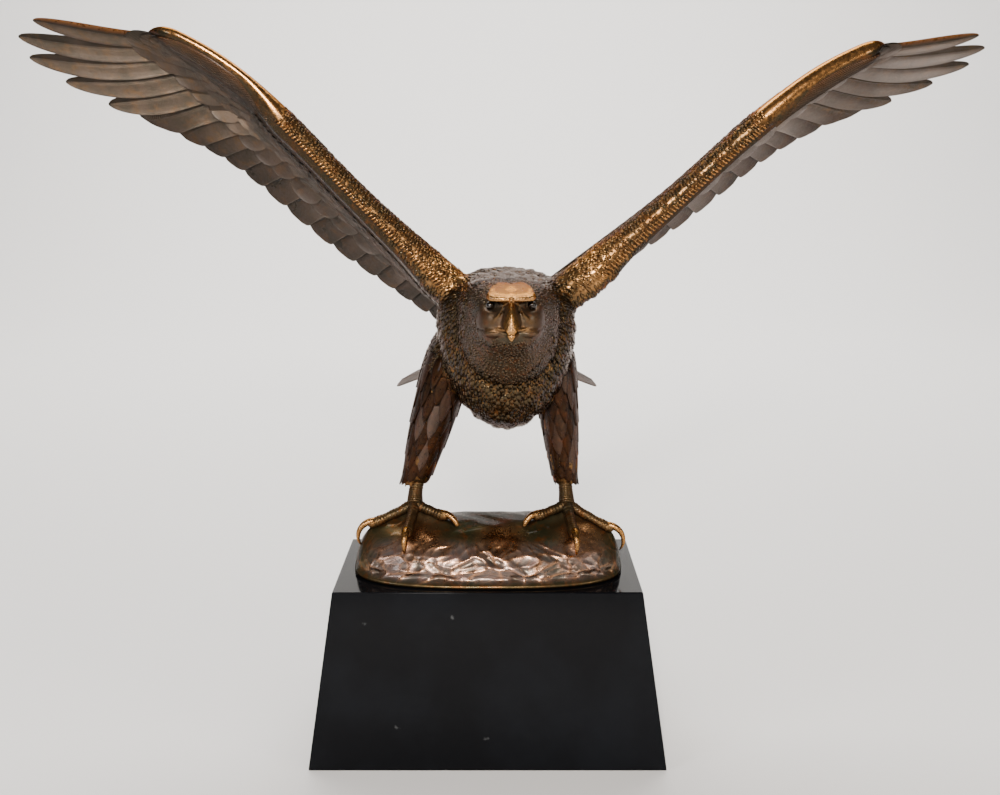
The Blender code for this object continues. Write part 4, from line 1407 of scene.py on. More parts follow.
@dataclass
class Head:
    """Flat-crowned head with overhanging brow, sunken eyes, mouth corners and hooked beak."""

    sizes: Sizes
    grain: float = 0.00058
    smoothing: int = 2
    beak_length: float = 0.026
    beak_depth: float = 0.021
    beak_width: float = 0.030
    brow_width: float = 0.031
    brow_thickness: float = 0.0050
    eye_diameter: float = 0.0050
    eye_drop: float = 0.0052
    gape_drop: float = 0.0210
    crown_width: float = 0.0275
    crown_length: float = 0.0240
    crown_slope: float = 16.0

    @property
    def middle_x(self) -> float:
        """The head's middle plane."""
        return self.sizes.body_shift + self.sizes.head_shift

    @property
    def brow_z(self) -> float:
        """Height of the brow."""
        return self.sizes.back_z - 0.105 * self.sizes.neck_depth

    def eye(self, side: Side) -> np.ndarray:
        """Centre of an eye."""
        return np.array(
            (
                self.middle_x + side.value * 0.410 * self.brow_width,
                -self.sizes.head_length * 0.928,
                self.brow_z - self.eye_drop,
            )
        )

    def add_skull(self, shell: Shell) -> None:
        """Adds the skull, which starts inside the neck."""
        size = self.sizes
        rings = []
        for i in range(50):
            t = 0.44 + 0.56 * math.sin(math.pi / 2 * i / 49)
            width, crown, throat = along(HEAD_ROWS, t)
            tuck = 0.94 + 0.065 * float(ease(0.44, 0.56, t))
            high = size.back_z - (crown + 0.055 * float(ease(0.70, 0.86, t))) * size.neck_depth
            low = size.back_z - throat * size.neck_depth
            widest = low + (high - low) * 0.55
            centre = np.array((size.body_shift + size.head_shift * t, -size.head_length * t, widest))
            half = width * size.neck_width / 2 * tuck
            upper_half, lower_half = (high - widest) * tuck, (widest - low) * tuck
            rings.append(egg(centre, ACROSS, UP, half, upper_half, lower_half, 72, 3.0, 2.1))
        shell.loft(rings, plumage=1.0, size=0.62, tone=0.55)

    def add_crown(self, shell: Shell) -> None:
        """Adds the flat, polished plate of the crown, a long hexagon that slopes to the brow."""
        slope = math.radians(self.crown_slope)
        back = np.array((0.0, math.cos(slope), math.sin(slope)))
        over = np.array((0.0, -math.sin(slope), math.cos(slope)))
        front = np.array((self.middle_x, -self.sizes.head_length * 0.992, self.brow_z + 0.0002))
        half, long = self.crown_width / 2, self.crown_length
        outline = [
            (-0.30, -0.02), (0.30, -0.02), (0.96, 0.05), (1.0, 0.30), (0.86, 0.72), (0.56, 1.0),
            (-0.56, 1.0), (-0.86, 0.72), (-1.0, 0.30), (-0.96, 0.05),
        ]
        rings = []
        for height, inset in ((-0.0050, 0.90), (-0.0016, 1.0), (-0.0004, 1.0), (0.0002, 0.93), (0.0005, 0.5)):
            ring = []
            for x, y in outline:
                sloped = back * (0.5 + (y - 0.5) * inset) * long
                ring.append(front + ACROSS * x * half * inset + sloped + over * height)
            rings.append(ring)
        shell.loft(rings, rub=np.array([0.80, 0.62, 0.42, 0.40, 0.40]), tone=0.50)

    def add_face(self, shell: Shell, side: Side) -> None:
        """Adds a brow ledge, the ridge behind the eye and the swollen corner of the mouth."""
        sign, length, x = side.value, self.sizes.head_length, self.middle_x
        z = self.brow_z
        brow = curve(
            [
                (x + sign * 0.0010, -length * 0.995, z - 0.0012),
                (x + sign * 0.0070, -length * 0.985, z - 0.0010),
                (x + sign * 0.0118, -length * 0.955, z - 0.0008),
                (x + sign * 0.0136, -length * 0.860, z + 0.0002),
            ],
            24,
        )
        share = np.linspace(0, 1, 24)
        radii = self.brow_thickness / 2 * np.interp(share, [0, 0.4, 0.8, 1], [0.55, 0.80, 0.70, 0.30])
        shell.tube(brow, radii, 14, rub=0.85, tone=0.7)
        low = z - self.gape_drop
        pad = np.array((x + sign * 0.0092, -length * 0.945, low + 0.0004))
        rub = np.concatenate([np.zeros(7), np.linspace(0.1, 0.5, 6)])
        shell.ball(pad, (0.0074, 0.0066, 0.0033), 22, rub=rub, tone=0.55)
        lip = curve(
            [
                (x + sign * 0.0030, -length * 1.035, low + 0.0020),
                (x + sign * 0.0085, -length * 0.992, low + 0.0030),
                (x + sign * 0.0135, -length * 0.940, low + 0.0026),
                (x + sign * 0.0166, -length * 0.870, low + 0.0034),
            ],
            24,
        )
        lip_girth = 0.00105 * np.interp(share, [0, 0.3, 0.8, 1], [0.6, 1.0, 1.0, 0.4])
        shell.tube(lip, lip_girth, 10, rub=0.55, tone=0.6)
        plane = curve(
            [
                (x + sign * 0.0040, -length * 1.010, z - 0.0035),
                (x + sign * 0.0078, -length * 0.996, z - 0.0105),
                (x + sign * 0.0120, -length * 0.955, z - 0.0158),
                (x + sign * 0.0158, -length * 0.885, z - 0.0185),
            ],
            24,
        )
        plane_girth = 0.00125 * np.interp(share, [0, 0.3, 0.8, 1], [0.5, 1.0, 1.0, 0.4])
        shell.tube(plane, plane_girth, 10, rub=0.15, tone=0.5)
        cheek = np.array((x + sign * 0.0095, -length * 0.900, z - 0.0135))
        shell.ball(cheek, (0.0062, 0.0085, 0.0100), tone=0.45)

    def add_beak(self, shell: Shell) -> None:
        """Adds the hooked upper beak and the lower one under it."""
        length, rings, marks = self.sizes.head_length, [], []
        count = 48
        turn = 2 * math.pi * np.arange(count) / count
        ridge_line = np.exp(-(((turn - math.pi / 2) / 0.42) ** 2))
        for i in range(52):
            t = 1.03 * math.sin(math.pi / 2 * i / 51)
            width, ridge, edge = along(BEAK_ROWS, t)
            top = self.brow_z + self.beak_depth * 0.05
            high, low = top - ridge * self.beak_depth, top - edge * self.beak_depth
            middle = low + (high - low) * 0.3
            centre = np.array((self.middle_x, -length * 0.84 - self.beak_length * t, middle))
            half = width * self.beak_width / 2
            rings.append(egg(centre, ACROSS, UP, half, high - middle, middle - low, count, 1.25, 2.0))
            marks.append(np.clip(0.12 + 0.95 * ridge_line + 0.9 * float(ease(0.72, 0.95, t)), 0, 1))
        shell.loft(rings, rub=np.array(marks), tone=0.6)
        line = [
            (self.middle_x, -length * 0.90, self.brow_z - 0.0215),
            (self.middle_x, -length * 1.02, self.brow_z - 0.0222),
        ]
        shell.tube(curve(line, 10), np.linspace(0.0062, 0.0024, 10), 16, 0.45, tone=0.2)

    def carve(self, mesh: bpy.types.Mesh) -> None:
        """Presses in the eye sockets, the nostrils and the line of the mouth.

        Args:
            mesh: The fused head.
        """
        points, facing = coordinates(mesh), normals(mesh)
        rise = mark_values(mesh, "rise")
        for side in Side:
            sign = side.value
            eye = self.eye(side)
            reach = points - eye
            pull = np.exp(-np.sum((reach / (0.0050, 0.0080, 0.0028)) ** 2, axis=1))
            below = 1 - ease(self.brow_z - 0.0036, self.brow_z - 0.0020, points[:, 2])
            points -= facing * (0.0026 * pull * below)[:, None]
            rise -= 0.35 * pull * below
            lore_y = -self.sizes.head_length * 0.985
            lore = np.array((self.middle_x + sign * 0.0082, lore_y, self.brow_z - 0.0065))
            reach = points - lore
            pull = np.exp(-np.sum((reach / (0.0030, 0.0090, 0.0045)) ** 2, axis=1))
            points -= facing * (0.0012 * pull * below)[:, None]
            rise -= 0.35 * pull * below
            nostril = np.array((self.middle_x + sign * 0.0046, 0.0, self.brow_z - 0.0078))
            reach = points - nostril
            tilt = reach[:, 2] * 0.92 - sign * reach[:, 0] * 0.4
            side_way = sign * reach[:, 0] * 0.92 + reach[:, 2] * 0.4
            pull = np.exp(-((side_way / 0.0009) ** 2 + (tilt / 0.0018) ** 2))
            pull *= (points[:, 1] < -self.sizes.head_length * 0.97) * 1.0
            points -= facing * (0.0007 * pull)[:, None]
            rise -= 0.7 * pull
        mouth_z = self.brow_z - self.beak_depth * 0.93
        along_head = -points[:, 1] / self.sizes.head_length
        mouth = np.exp(-(((points[:, 2] - mouth_z) / 0.0006) ** 2)) * ease(0.80, 0.90, along_head)
        mouth *= 1 - ease(1.12, 1.16, along_head)
        points -= facing * (0.0006 * mouth)[:, None]
        rise -= 0.6 * mouth
        mesh.vertices.foreach_set("co", points.astype(np.float32).ravel())
        set_mark(mesh, "rise", np.clip(rise, 0, 1))
        mesh.update()

    def build(self) -> bpy.types.Object:
        """Builds the head with its marks and flow.

        Returns:
            The head.
        """
        shell = Shell()
        self.add_skull(shell)
        self.add_crown(shell)
        for side in Side:
            self.add_face(shell, side)
        self.add_beak(shell)
        made = fuse(shell, "head", self.grain, self.smoothing)
        mesh = made.data
        self.carve(mesh)
        points = coordinates(mesh)
        face = ease(0.80, 0.90, -points[:, 1] / self.sizes.head_length)
        low = ease(self.brow_z - 0.027, self.brow_z - 0.023, points[:, 2])
        crown = ease(0.80, 0.84, -points[:, 1] / self.sizes.head_length)
        crown = crown * ease(self.brow_z - 0.002, self.brow_z, points[:, 2])
        bare = np.clip(face * low + crown, 0, 1)
        plumage = mark_values(mesh, "plumage") * (1 - bare)
        plumage[mark_values(mesh, "rub") > 0.3] = 0.0
        set_mark(mesh, "plumage", plumage)
        flow = np.broadcast_to(np.array((0.0, 0.8, -0.6)), points.shape).copy()
        set_flow(mesh, flow)
        return made

    def eyes(self) -> bpy.types.Object:
        """Builds both eyeballs."""
        shell = Shell()
        for side in Side:
            centre = self.eye(side) + np.array((-side.value * 0.0006, 0.0012, -0.0002))
            shell.ball(centre, [self.eye_diameter / 2] * 3, 24, rub=0.0, tone=0.3)
        return shell.build("eyes")


# Toes of a foot: heading away from straight ahead, outwards, in degrees, and length as a share.
TOES: Sequence[tuple[float, float]] = [(76.0, 1.00), (8.0, 0.93), (-64.0, 0.78), (172.0, 0.62)]


def rock_height(size: Sizes, x: Any, y: Any) -> Any:
    """Height of the mound over the seat at a place, without its lumps."""
    u = np.asarray(x, float) / (size.mound_width / 2)
    v = (np.asarray(y, float) - size.mound_y) / (size.mound_depth / 2)
    rim = (np.abs(u) ** 2.8 + np.abs(v) ** 2.8) ** (1 / 2.8)
    ends = np.abs(u) / np.maximum(np.hypot(u, v), 1e-9)
    steep = 2.6 + 5.4 * ends**6
    level = np.sqrt(np.maximum(0.0, 1 - np.minimum(rim, 1.0) ** steep))
    return np.where(rim >= 1, 0.0, size.mound_height * level)


@dataclass
class Feet:
    """Scaly shanks and toes with long curved claws."""

    sizes: Sizes
    foot_rise: float = 0.0095
    foot_forward: float = 0.003
    ankle_rise: float = 0.0165
    claw_bend: float = 0.0085

    def foot(self, side: Side) -> np.ndarray:
        """Middle of the ball of a foot."""
        size = self.sizes
        x = side.value * size.mound_width * 0.285 + size.mound_width * 0.01
        z = size.seat_z + float(rock_height(size, x, -self.foot_forward)) + self.foot_rise
        return np.array((x, -self.foot_forward, z))

    def toe(self, side: Side, heading: float, share: float) -> tuple[np.ndarray, np.ndarray, np.ndarray]:
        """Finds a toe's knuckle, end and direction."""
        size, foot = self.sizes, self.foot(side)
        turn = math.radians(heading)
        out = np.array((side.value * math.sin(turn), -math.cos(turn), 0.0))
        end = foot + out * size.toe_length * share
        end[2] = size.seat_z + float(rock_height(size, end[0], end[1])) + size.toe_diameter * 0.62
        knuckle = (foot + end) / 2
        ground = size.seat_z + float(rock_height(size, knuckle[0], knuckle[1])) + size.toe_diameter * 0.4
        knuckle[2] = max(knuckle[2], ground)
        return knuckle, end, out

    def scutes(self, count: int, rows: int, depth: float) -> np.ndarray:
        """Swelling of a limb by cross scales, one short bulge after another."""
        t = np.linspace(0, rows, count)
        return 1 + depth * (1 - np.abs(2 * (t - np.floor(t)) - 1) ** 2.5)

    def build(self) -> bpy.types.Object:
        """Builds both feet.

        Returns:
            One object with shanks, toes and claws.
        """
        size, shell = self.sizes, Shell()
        torso = Torso(size, [])
        for side in Side:
            foot = self.foot(side)
            hip, ankle, _ = torso.thigh_line(side)
            shank = size.shank_diameter / 2
            line = [hip + (ankle - hip) * 0.80, ankle + (foot - ankle) * 0.4, foot]
            count = 90
            radii = curve(np.array([[shank], [shank * 0.90], [shank * 1.05]]), count)[:, 0]
            scaled = radii * 0.93 * self.scutes(count, 17, 0.10)
            shell.tube(curve(line, count), scaled, 24, rub=0.06, tone=0.4)
            shell.ball(foot, (shank * 1.02, shank * 1.1, shank * 0.85), rub=0.06, tone=0.4)
            for heading, share in TOES:
                knuckle, end, out = self.toe(side, heading, share)
                thick = size.toe_diameter / 2
                count = 70
                pads = curve(np.array([[1.18], [0.86], [0.98]]), count)[:, 0]
                pads *= 1 + 0.12 * np.sin(np.linspace(0, 3 * math.pi, count)) ** 2
                rub = np.interp(np.linspace(0, 1, count), [0, 0.5, 1], [0.0, 0.06, 0.15])
                shell.tube(
                    curve([foot, knuckle, end], count),
                    thick * pads * self.scutes(count, int(14 * share), 0.12),
                    22,
                    rub=rub,
                    tone=0.45,
                )
                shell.ball(end + UP * thick * 0.1, (thick * 1.05, thick * 1.05, thick), rub=0.15)
                claw, girth = [], []
                bend = self.claw_bend * (1.16 if abs(heading) > 60 and share > 0.7 else 1.0)
                for j in range(30):
                    arc = math.radians(-34 + 166 * j / 29)
                    reach = out * (bend * math.sin(arc)) + UP * bend * (math.cos(arc) - 1)
                    claw.append(end + reach + UP * thick * 0.55)
                    girth.append(thick * 0.90 * (1 - j / 29.5) ** 0.60)
                shell.tube(claw, girth, 18, rub=0.7, tone=0.5)
        return shell.build("feet")


@dataclass
class Rock:
    """The mound: smooth and lumpy above, swelling up to the toes, knife-cut round its front."""

    sizes: Sizes
    around: int = 560
    rise: int = 96
    swell: float = 0.0011
    cut: float = 0.0030
    cuts_round: int = 46

    def knife(self, girth: np.ndarray, up_slope: np.ndarray, count: int) -> tuple[np.ndarray, np.ndarray]:
        """Finds the scooped cuts of a modelling knife, which meet in sharp ridges.

        Args:
            girth: Place round the rim, from 0 to the number of cuts round it.
            up_slope: Place up the slope in cut widths.
            count: Number of cuts round the rim.

        Returns:
            How deep each place is cut, and how near it is to a ridge, both from 0 to 1.
        """
        first = np.full(girth.shape, 9.0)
        second, level = first.copy(), np.zeros(girth.shape)
        column, row = np.floor(girth), np.floor(up_slope)
        for di in (-1, 0, 1):
            for dj in (-1, 0, 1):
                i, j = np.mod(column + di, count), row + dj
                u = girth - column - di - 0.1 - 0.8 * scatter(i, j, 0)
                v = up_slope - j - 0.1 - 0.8 * scatter(i, j, 1)
                slant = 1.6 * (scatter(i, j, 3) - 0.5)
                reach = np.hypot(u + slant * v, v * (1.0 + 0.5 * scatter(i, j, 4)))
                closer = reach < first
                second = np.where(closer, first, np.minimum(second, reach))
                level = np.where(closer, scatter(i, j, 2), level)
                first = np.where(closer, reach, first)
        bowl = 1 - np.clip(first / 0.85, 0, 1) ** 2
        return bowl * (0.35 + 0.65 * level), np.exp(-(((second - first) / 0.13) ** 2))

    def build(self) -> bpy.types.Object:
        """Builds the mound as rings that close up towards its rim.

        Returns:
            The mound.
        """
        size, shell = self.sizes, Shell()
        rim = 1 - (1 - np.linspace(0, 1, self.rise + 1)) ** 1.8
        rim[0] = 0.004
        rim = rim[:, None]
        turn = (2 * math.pi * np.arange(self.around) / self.around)[None, :]
        c, s = np.cos(turn), np.sin(turn)
        reach = rim / (np.abs(c) ** 2.8 + np.abs(s) ** 2.8) ** (1 / 2.8)
        x = c * reach * size.mound_width / 2
        y = s * reach * size.mound_depth / 2 + size.mound_y
        lump = 0.6 * np.sin(x * 95 + 1.3 * np.sin(y * 60)) * np.sin(y * 110 + 0.8 * np.sin(x * 70) + 1.0)
        lump += 0.3 * np.sin(x * 210 + 2 + np.sin(y * 130)) * np.sin(y * 230 + x * 80)
        lump = lump * self.swell * ease(0.0, 0.12, 1 - rim)
        height = rock_height(size, x * 0.999, size.mound_y + (y - size.mound_y) * 0.999)
        side = ease(0.10, 0.34, 1 - height / size.mound_height)
        front = 0.30 + 0.70 * ease(-0.1, 0.5, -s)
        ends = 1 - 0.75 * ease(0.72, 0.95, np.abs(c))
        foot_lip = ease(0.0008, 0.0055, height)
        part = turn / (2 * math.pi)
        warp = 0.35 * np.sin(height * 260 + 11 * turn) + 0 * rim
        few = self.cuts_round
        coarse, coarse_edge = self.knife(part * few + warp, height / 0.0092 + 0.3 * warp, few)
        many = int(self.cuts_round * 1.9)
        fine, fine_edge = self.knife(part * many + warp, height / 0.0050 + 3.3 + 0.4 * warp, many)
        cuts = 0.62 * coarse + 0.42 * fine
        cut = self.cut * side * front * ends * foot_lip * cuts
        lip = 0.0015 * np.exp(-(((height - 0.0010) / 0.0016) ** 2)) * front
        lip = lip - 0.0012 * np.exp(-(((height - 0.0060) / 0.0028) ** 2)) * front * ends
        x = x - c * (cut - lip)
        y = y - s * (cut - lip)
        z = size.seat_z + height + lump
        feet = Feet(size)
        for leg in Side:
            ball = feet.foot(leg)
            for heading, share in TOES:
                knuckle, end, _ = feet.toe(leg, heading, share)
                for a, b in ((ball, knuckle), (knuckle, end)):
                    run = b - a
                    t = ((x - a[0]) * run[0] + (y - a[1]) * run[1]) / (run[0] ** 2 + run[1] ** 2)
                    t = np.clip(t, 0, 1)
                    gap = np.hypot(x - a[0] - run[0] * t, y - a[1] - run[1] * t)
                    level = a[2] + run[2] * t - size.toe_diameter * 0.30
                    web = np.exp(-((gap / 0.0042) ** 2))
                    z = np.maximum(z, z + (level - z) * web)
        grid = np.stack([x, y, z], -1)
        foot = grid[-1].copy()
        foot[:, 2] = size.seat_z
        grid = np.concatenate([foot[None], grid[::-1]])
        silver = side * front * ends * foot_lip
        ridge = silver * (0.75 * coarse_edge + 0.35 * fine_edge)
        shoulder = np.exp(-(((height / size.mound_height - 0.78) / 0.17) ** 2)) * front
        shoulder = 1.25 * shoulder * (0.5 + 0.5 * np.sin(x * 118 + 0.6)) ** 2
        foot_rim = 0.10 * np.exp(-(((height - 0.0012) / 0.0012) ** 2)) * front
        rub = np.clip(0.9 * shoulder + 0.75 * ridge + foot_rim, 0, 1)
        tone = 0.42 + 0.50 * silver * (0.4 + 0.6 * (1 - cuts))
        marks = {}
        for name, value in (("rub", rub), ("tone", tone), ("rise", 1 - 0.55 * silver * cuts)):
            value = np.broadcast_to(value, x.shape)
            marks[name] = np.concatenate([value[-1:], value[::-1]])
        shell.loft(grid, **marks)
        made = shell.build("rock")
        mesh = made.data
        points = coordinates(mesh)
        base = points[:, 2] <= size.seat_z + 1e-5
        eased = smooth(mesh, points, 1, 0.6)
        eased[base] = points[base]
        mesh.vertices.foreach_set("co", eased.astype(np.float32).ravel())
        mesh.update()
        return made


@dataclass
class Tail:
    """A spread fan of feathers, arched so that its corners hang lowest, with coverts at its root."""

    sizes: Sizes
    length: float = 0.114
    spread: float = 36.0
    root_width: float = 0.034
    slope: float = 13.0
    feathers: int = 12
    feather_width: float = 0.024
    sink: float = 0.028
    arch: float = 0.0144

    def fan(self, shell: Shell, count: int, reach: float, wide: float, off: float, thick: float) -> None:
        """Adds one fan of feathers.

        Args:
            shell: Where they go.
            count: Number of feathers.
            reach: Their length as a share of the tail's.
            wide: Their width as a share of a tail feather's.
            off: How far they lie off the tail's surface.
            thick: Their thickness.
        """
        size = self.sizes
        root = np.array(
            (
                size.body_shift * 0.45,
                size.body_length - size.breast_length - self.sink,
                size.back_z - 0.56 * size.body_depth,
            )
        )
        half_top = np.array([-1, -0.94, -0.7, -0.08, 0.0, 0.08, 0.7, 0.94, 1])
        across = np.concatenate([half_top, half_top[::-1]])
        face = np.concatenate([np.ones(len(half_top)), -np.ones(len(half_top))])
        s = (1 - (1 - np.linspace(0, 1, 22)) ** 1.3)[:, None]
        for k in range(count):
            t = 2 * k / (count - 1) - 1
            yaw, slope = math.radians(self.spread) * t, math.radians(self.slope + 6 * t * t)
            ahead = np.array((math.sin(yaw), math.cos(yaw), 0.0)) * math.cos(slope) - UP * math.sin(slope)
            aside = np.array((math.cos(yaw), -math.sin(yaw), 0.0))
            normal = unit(np.cross(aside, ahead))
            shape = 0.45 + 0.55 * np.sin(math.pi / 2 * np.minimum(1.0, s / 0.7))
            shape = shape * np.sqrt(np.maximum(0.0, 1 - np.clip((s - 0.84) / 0.163, 0, 1) ** 2))
            half = np.maximum(self.feather_width * wide / 2 * shape, thick * 0.25)
            feather_length = self.length * reach * (1 - 0.07 * t * t)
            centre = root + ahead * feather_length * s[..., None] + ACROSS * (t * self.root_width / 2)
            lens = 0.16 + 0.84 * (1 - np.abs(across) ** 2.6) ** 0.6
            spine = 0.42 * np.exp(-((across / 0.05) ** 2)) * (1 - 0.6 * s)
            u = half * across
            tilt = -u * (0.10 + 0.40 * abs(t) ** 3) * (1 if t > 0 else -1)
            lift = off + face * (0.5 * lens + spine) * thick + tilt - self.arch / 2 * abs(t)
            ring = centre + aside * u[..., None] + normal * lift[..., None]
            barb = s * self.length * reach + np.abs(across) * half * 1.3
            rise = 1 - 0.55 * np.abs(across) ** 6 * np.ones_like(u)
            shell.loft(ring, tone=0.05 + 0.3 * float(scatter(k, count, 2)), rise=rise, barb=barb)

    def build(self) -> bpy.types.Object:
        """Builds the tail.

        Returns:
            One object of closed feather skins.
        """
        shell = Shell()
        thick = self.sizes.feather_thickness
        self.fan(shell, self.feathers, 1.0, 1.0, 0.0, thick)
        for off in (1, -1):
            self.fan(shell, 11, 0.62, 0.74, off * 0.0016, thick * 0.8)
            self.fan(shell, 9, 0.47, 0.60, off * 0.0030, thick * 0.8)
        return shell.build("tail")


@dataclass
class Trousers:
    """Long lance-shaped feathers that lie down each thigh, row over row."""

    sizes: Sizes
    rows: int = 7
    around: int = 10
    length: float = 0.0235
    width: float = 0.0088
    thickness: float = 0.0012

    def build(self) -> bpy.types.Object:
        """Builds the feathers of both thighs.

        Returns:
            One object of closed feather skins.
        """
        shell = Shell()
        torso = Torso(self.sizes, [])
        half_top = np.array([-1, -0.9, -0.5, 0.0, 0.5, 0.9, 1])
        across = np.concatenate([half_top, half_top[::-1]])
        face = np.concatenate([np.ones(len(half_top)), -np.ones(len(half_top))])
        lens = 0.25 + 0.75 * (1 - np.abs(across) ** 2.2) ** 0.7
        for side in Side:
            hip, ankle, girth = torso.thigh_line(side)
            drop = np.linalg.norm(ankle - hip)
            for row in range(self.rows):
                for k in range(self.around):
                    wave = float(scatter(row, k, side.value + 4))
                    turn = 2 * math.pi * (k + 0.5 * (row % 2) + 0.2 * (wave - 0.5)) / self.around
                    start = 0.02 + 0.80 * row / (self.rows - 1) - 0.04 * wave
                    outer = max(0.0, side.value * math.cos(turn))
                    long = self.length * (0.85 + 0.25 * wave + 0.15 * outer) / drop
                    long = min(long, 1.00 + 0.07 * outer - start)
                    s = np.linspace(0, 1, 13)
                    rings = []
                    for share in s:
                        t = start + long * share
                        wide, deep = along(THIGH_ROWS, min(t, 1.0))
                        out = 1.0 + 0.05 * share
                        core = hip + (ankle - hip) * t
                        rx = wide * girth * self.sizes.thigh_width / 2 * out
                        ry = deep * self.sizes.thigh_width / 2 * out
                        shape = math.sin(math.pi * min(1.0, 0.16 + 0.84 * share) ** 0.85)
                        shape = max(shape, 0.0) ** (0.35 if row == self.rows - 1 else 0.75)
                        half = max(self.width / 2 * shape, 0.0002)
                        swing = turn + across * half / math.hypot(rx * math.sin(turn), ry * math.cos(turn))
                        point = core + np.outer(np.cos(swing) * rx, ACROSS)
                        point = point + np.outer(np.sin(swing) * ry, DEEP)
                        normal = unit(np.stack([np.cos(swing) / rx, np.sin(swing) / ry, 0 * swing], -1))
                        lift = face * lens * self.thickness / 2 + self.thickness * (0.25 * share + 0.05)
                        rings.append(point + normal * lift[:, None])
                    edge = 1 - 0.7 * np.abs(across)[None, :] ** 5 * np.ones((13, 1))
                    barb = s[:, None] * self.length + np.abs(across)[None, :] * self.width * 0.6
                    shell.loft(rings, rise=edge, barb=barb, tone=0.15 + 0.5 * wave)
        return shell.build("thigh_feathers")


@dataclass
class Plinth:
    """The stone block, whose own solid stays and gets its finish."""

    node: bpy.types.Object

    def dress(self, finish: bpy.types.Material) -> None:
        """Gives the solid its stone."""
        if not self.node.data.materials:
            self.node.data.materials.append(finish)
        for slot in self.node.material_slots:
            slot.material = finish
        log.info("%s: finished in stone", self.node.name)


@dataclass
class Studio:
    """Pale sweep, soft lights and the camera."""

    floor_half: float = 4.0
    front: float = -3.0
    wall: float = 2.8
    bend: float = 1.0
    wall_top: float = 3.2
    camera_at: tuple[float, float, float] = (0.008, -0.785, 0.384)
    camera_drop: float = 11.02
    lens: float = 43.2
    sensor: float = 36.0

    def sweep(self) -> None:
        """Builds a floor that bends up into a wall."""
        profile = [(self.front, 0.0), (self.wall - self.bend, 0.0)]
        for i in range(1, 17):
            turn = math.pi / 2 * i / 16
            depth = self.wall - self.bend + self.bend * math.sin(turn)
            profile.append((depth, self.bend * (1 - math.cos(turn))))
        profile.append((self.wall, self.wall_top))
        verts = [(x, y, z) for y, z in profile for x in (-self.floor_half, self.floor_half)]
        faces = [(2 * i, 2 * i + 1, 2 * i + 3, 2 * i + 2) for i in range(len(profile) - 1)]
        mesh = bpy.data.meshes.new("sweep")
        mesh.from_pydata(verts, [], faces)
        mesh.shade_smooth()
        paper = bpy.data.materials.new("matt pale paper")
        paper.use_nodes = True
        shader = paper.node_tree.nodes["Principled BSDF"]
        shader.inputs["Base Color"].default_value = linear("#f2f0ee")
        shader.inputs["Roughness"].default_value = 0.9
        mesh.materials.append(paper)
        made = bpy.data.objects.new("sweep", mesh)
        bpy.context.scene.collection.objects.link(made)

    def lamp(self, name: str, at: tuple, aim: tuple, size: float, power: float, colour: str) -> None:
        """Adds a square soft light that faces a point."""
        data = bpy.data.lights.new(name, "AREA")
        data.shape = "SQUARE"
        data.size = size
        data.energy = power
        data.color = linear(colour)[:3]
        made = bpy.data.objects.new(name, data)
        made.location = at
        made.rotation_euler = (Vector(aim) - Vector(at)).to_track_quat("-Z", "Y").to_euler()
        bpy.context.scene.collection.objects.link(made)

    def build(self) -> None:
        """Sets the stage, the lights, the world and the camera."""
        self.sweep()
        middle = (0.0, 0.0, 0.30)
        self.lamp("key", (-0.12, -1.50, 0.98), middle, 0.18, 34.0, "#fff7ee")
        self.lamp("back", (0.0, 1.5, 2.6), (0.0, 2.6, 0.7), 2.2, 150.0, "#fffdfa")
        self.lamp("left strip", (-1.2, -0.9, 0.7), middle, 0.35, 6.0, "#f2f5ff")
        self.lamp("right strip", (1.2, -0.9, 0.6), middle, 0.35, 6.0, "#fff4e6")
        world = bpy.data.worlds.new("pale room")
        world.use_nodes = True
        sky = world.node_tree.nodes["Background"]
        sky.inputs["Color"].default_value = linear("#dfe2e6")
        sky.inputs["Strength"].default_value = 0.20
        bpy.context.scene.world = world
        data = bpy.data.cameras.new("camera")
        data.lens = self.lens
        data.sensor_width = self.sensor
        data.clip_start = 0.01
        camera = bpy.data.objects.new("camera", data)
        camera.location = self.camera_at
        camera.rotation_euler = (math.radians(90 - self.camera_drop), 0.0, 0.0)
        bpy.context.scene.collection.objects.link(camera)
        bpy.context.scene.camera = camera


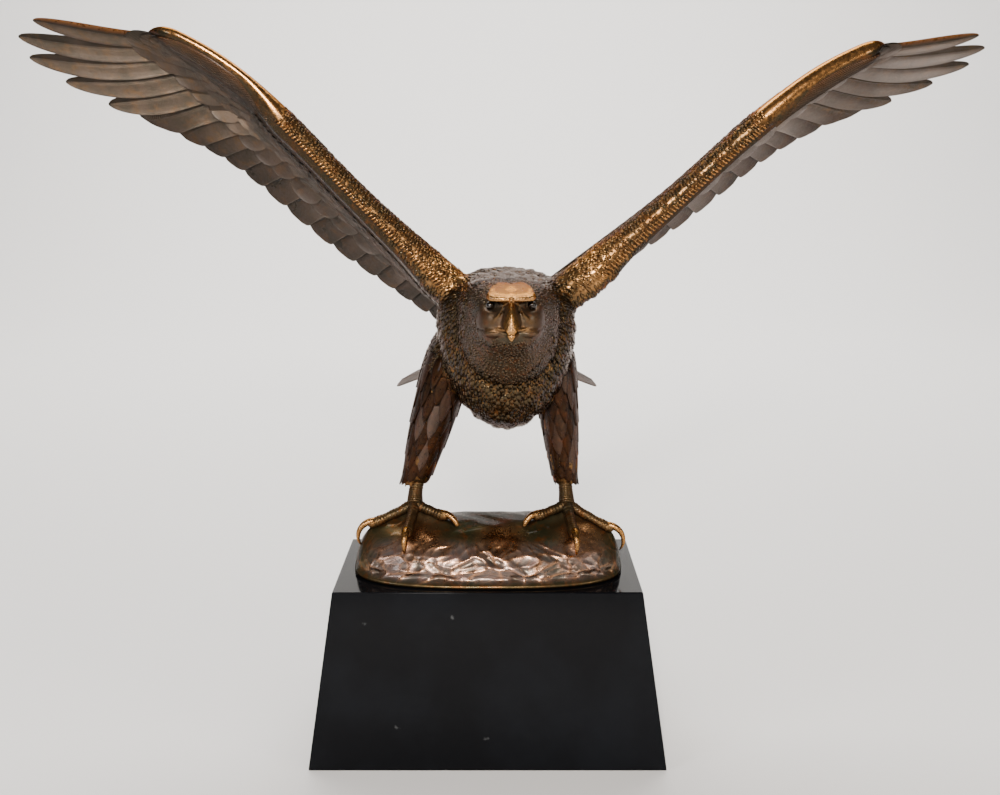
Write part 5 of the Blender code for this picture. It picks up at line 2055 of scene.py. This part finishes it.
def main() -> None:
    """Loads the frame, builds and dresses every piece, and sets the studio."""
    logging.basicConfig(level=logging.INFO, format="%(name)s: %(message)s")
    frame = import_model()
    sizes = Sizes(seat_z=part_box(STONE)[1].z + SEAT_GAP)
    body_finish = PatinatedBronze("patinated bronze, body").build()
    plume_finish = PatinatedBronze(
        "patinated bronze, rubbed plumage",
        ground="#453928",
        rust="#553a20",
        crest_rub=0.14,
        patina_rough=0.16,
        hollow_mm=1.8,
    ).build()
    feather_finish = PatinatedBronze(
        "patinated bronze, brushed feathers",
        ground="#5b4f44",
        second="#4a4339",
        rust="#654f38",
        rubbed="#b9743c",
        pale="#989290",
        crest_rub=0.0,
        patina_rough=0.38,
        barb_mm=1.5,
        barb_depth=1.0,
        hollow_mm=7.0,
        wax=0.15,
        wax_rough=0.25,
    ).build()
    arm_finish = PatinatedBronze(
        "rubbed bronze, wing arm", crest_rub=0.40, rust="#684222", rubbed="#b07d4a", patina_rough=0.30
    ).build()
    eye_finish = PatinatedBronze(
        "polished dark bronze, eyes", ground="#1c130d", second="#1c130d", rust="#24170f", crest_rub=0.0,
        patina_rough=0.14, wax=1.0, wax_rough=0.04,
    ).build()
    thigh_finish = PatinatedBronze(
        "patinated bronze, red-brown",
        ground="#38200f",
        second="#281a10",
        rust="#4c2811",
        crest_rub=0.04,
        patina_rough=0.32,
        barb_depth=0.3,
    ).build()
    horn_finish = PatinatedBronze(
        "polished bronze, head and feet", ground="#4a3926", crest_rub=0.0, rubbed="#b5834c", grain_depth=0.45
    ).build()
    rock_finish = PatinatedBronze(
        "knife-cut bronze",
        ground="#4d432d",
        second="#3f422e",
        rust="#6e4320",
        rubbed="#c08a60",
        pale="#8c7a7b",
        crest_rub=0.0,
        patina_rough=0.34,
        edge_tint="#5c4a38",
    ).build()
    stone_finish = PolishedMarble().build()
    dresser = Dresser()
    surfaces = [
        WingSurface(sizes, Side.RIGHT, 1.9, -4.5, 36.0, 42.0),
        WingSurface(sizes, Side.LEFT, -1.7, 3.5, 22.0, 29.0, 0.14),
    ]
    body = Torso(sizes, surfaces).build()
    plumes = SmallFeathers("body_plumage").lay(body, plume_finish)
    dresser.dress(body, body_finish, "bronze", CASTING)
    dresser.dress(plumes, plume_finish, "bronze", CASTING)
    head = Head(sizes)
    skull = head.build()
    small = SmallFeathers(
        "head_plumage", spacing=0.0018, length=0.0054, width=0.0028, thickness=0.0009, lean=13.0, seed=5
    )
    fringe = small.lay(skull, plume_finish)
    dresser.dress(skull, horn_finish, "bronze", CASTING)
    dresser.dress(fringe, plume_finish, "bronze", CASTING)
    dresser.dress(head.eyes(), eye_finish, "bronze", CASTING)
    # The left wing's feathers are painted paler than the right wing's: painted light standing in for the
    # brighter light that its less steeply banked underside catches.
    for name, surface, paleness in zip(("right_wing", "left_wing"), surfaces, (0.50, 0.85)):
        wing = Wing(sizes, surface, name, paleness)
        arm = wing.arm()
        chips = SmallFeathers(
            name + "_arm_scales",
            spacing=0.0017,
            length=0.0029,
            width=0.0028,
            thickness=0.0009,
            lean=17.0,
            seed=9,
        ).lay(arm, arm_finish)
        dresser.dress(arm, arm_finish, "bronze", CASTING)
        dresser.dress(chips, arm_finish, "bronze", CASTING)
        dresser.dress(wing.feathers(), feather_finish, "bronze", CASTING)
    dresser.dress(Tail(sizes).build(), feather_finish, "bronze", CASTING)
    dresser.dress(Trousers(sizes).build(), thigh_finish, "bronze", CASTING)
    dresser.dress(Feet(sizes).build(), horn_finish, "bronze", CASTING)
    dresser.dress(Rock(sizes).build(), rock_finish, "bronze", CASTING)
    Plinth(frame["nodes"][STONE]).dress(stone_finish)
    Studio().build()
    bpy.context.view_layer.update()


if __name__ == "__main__":
    main()
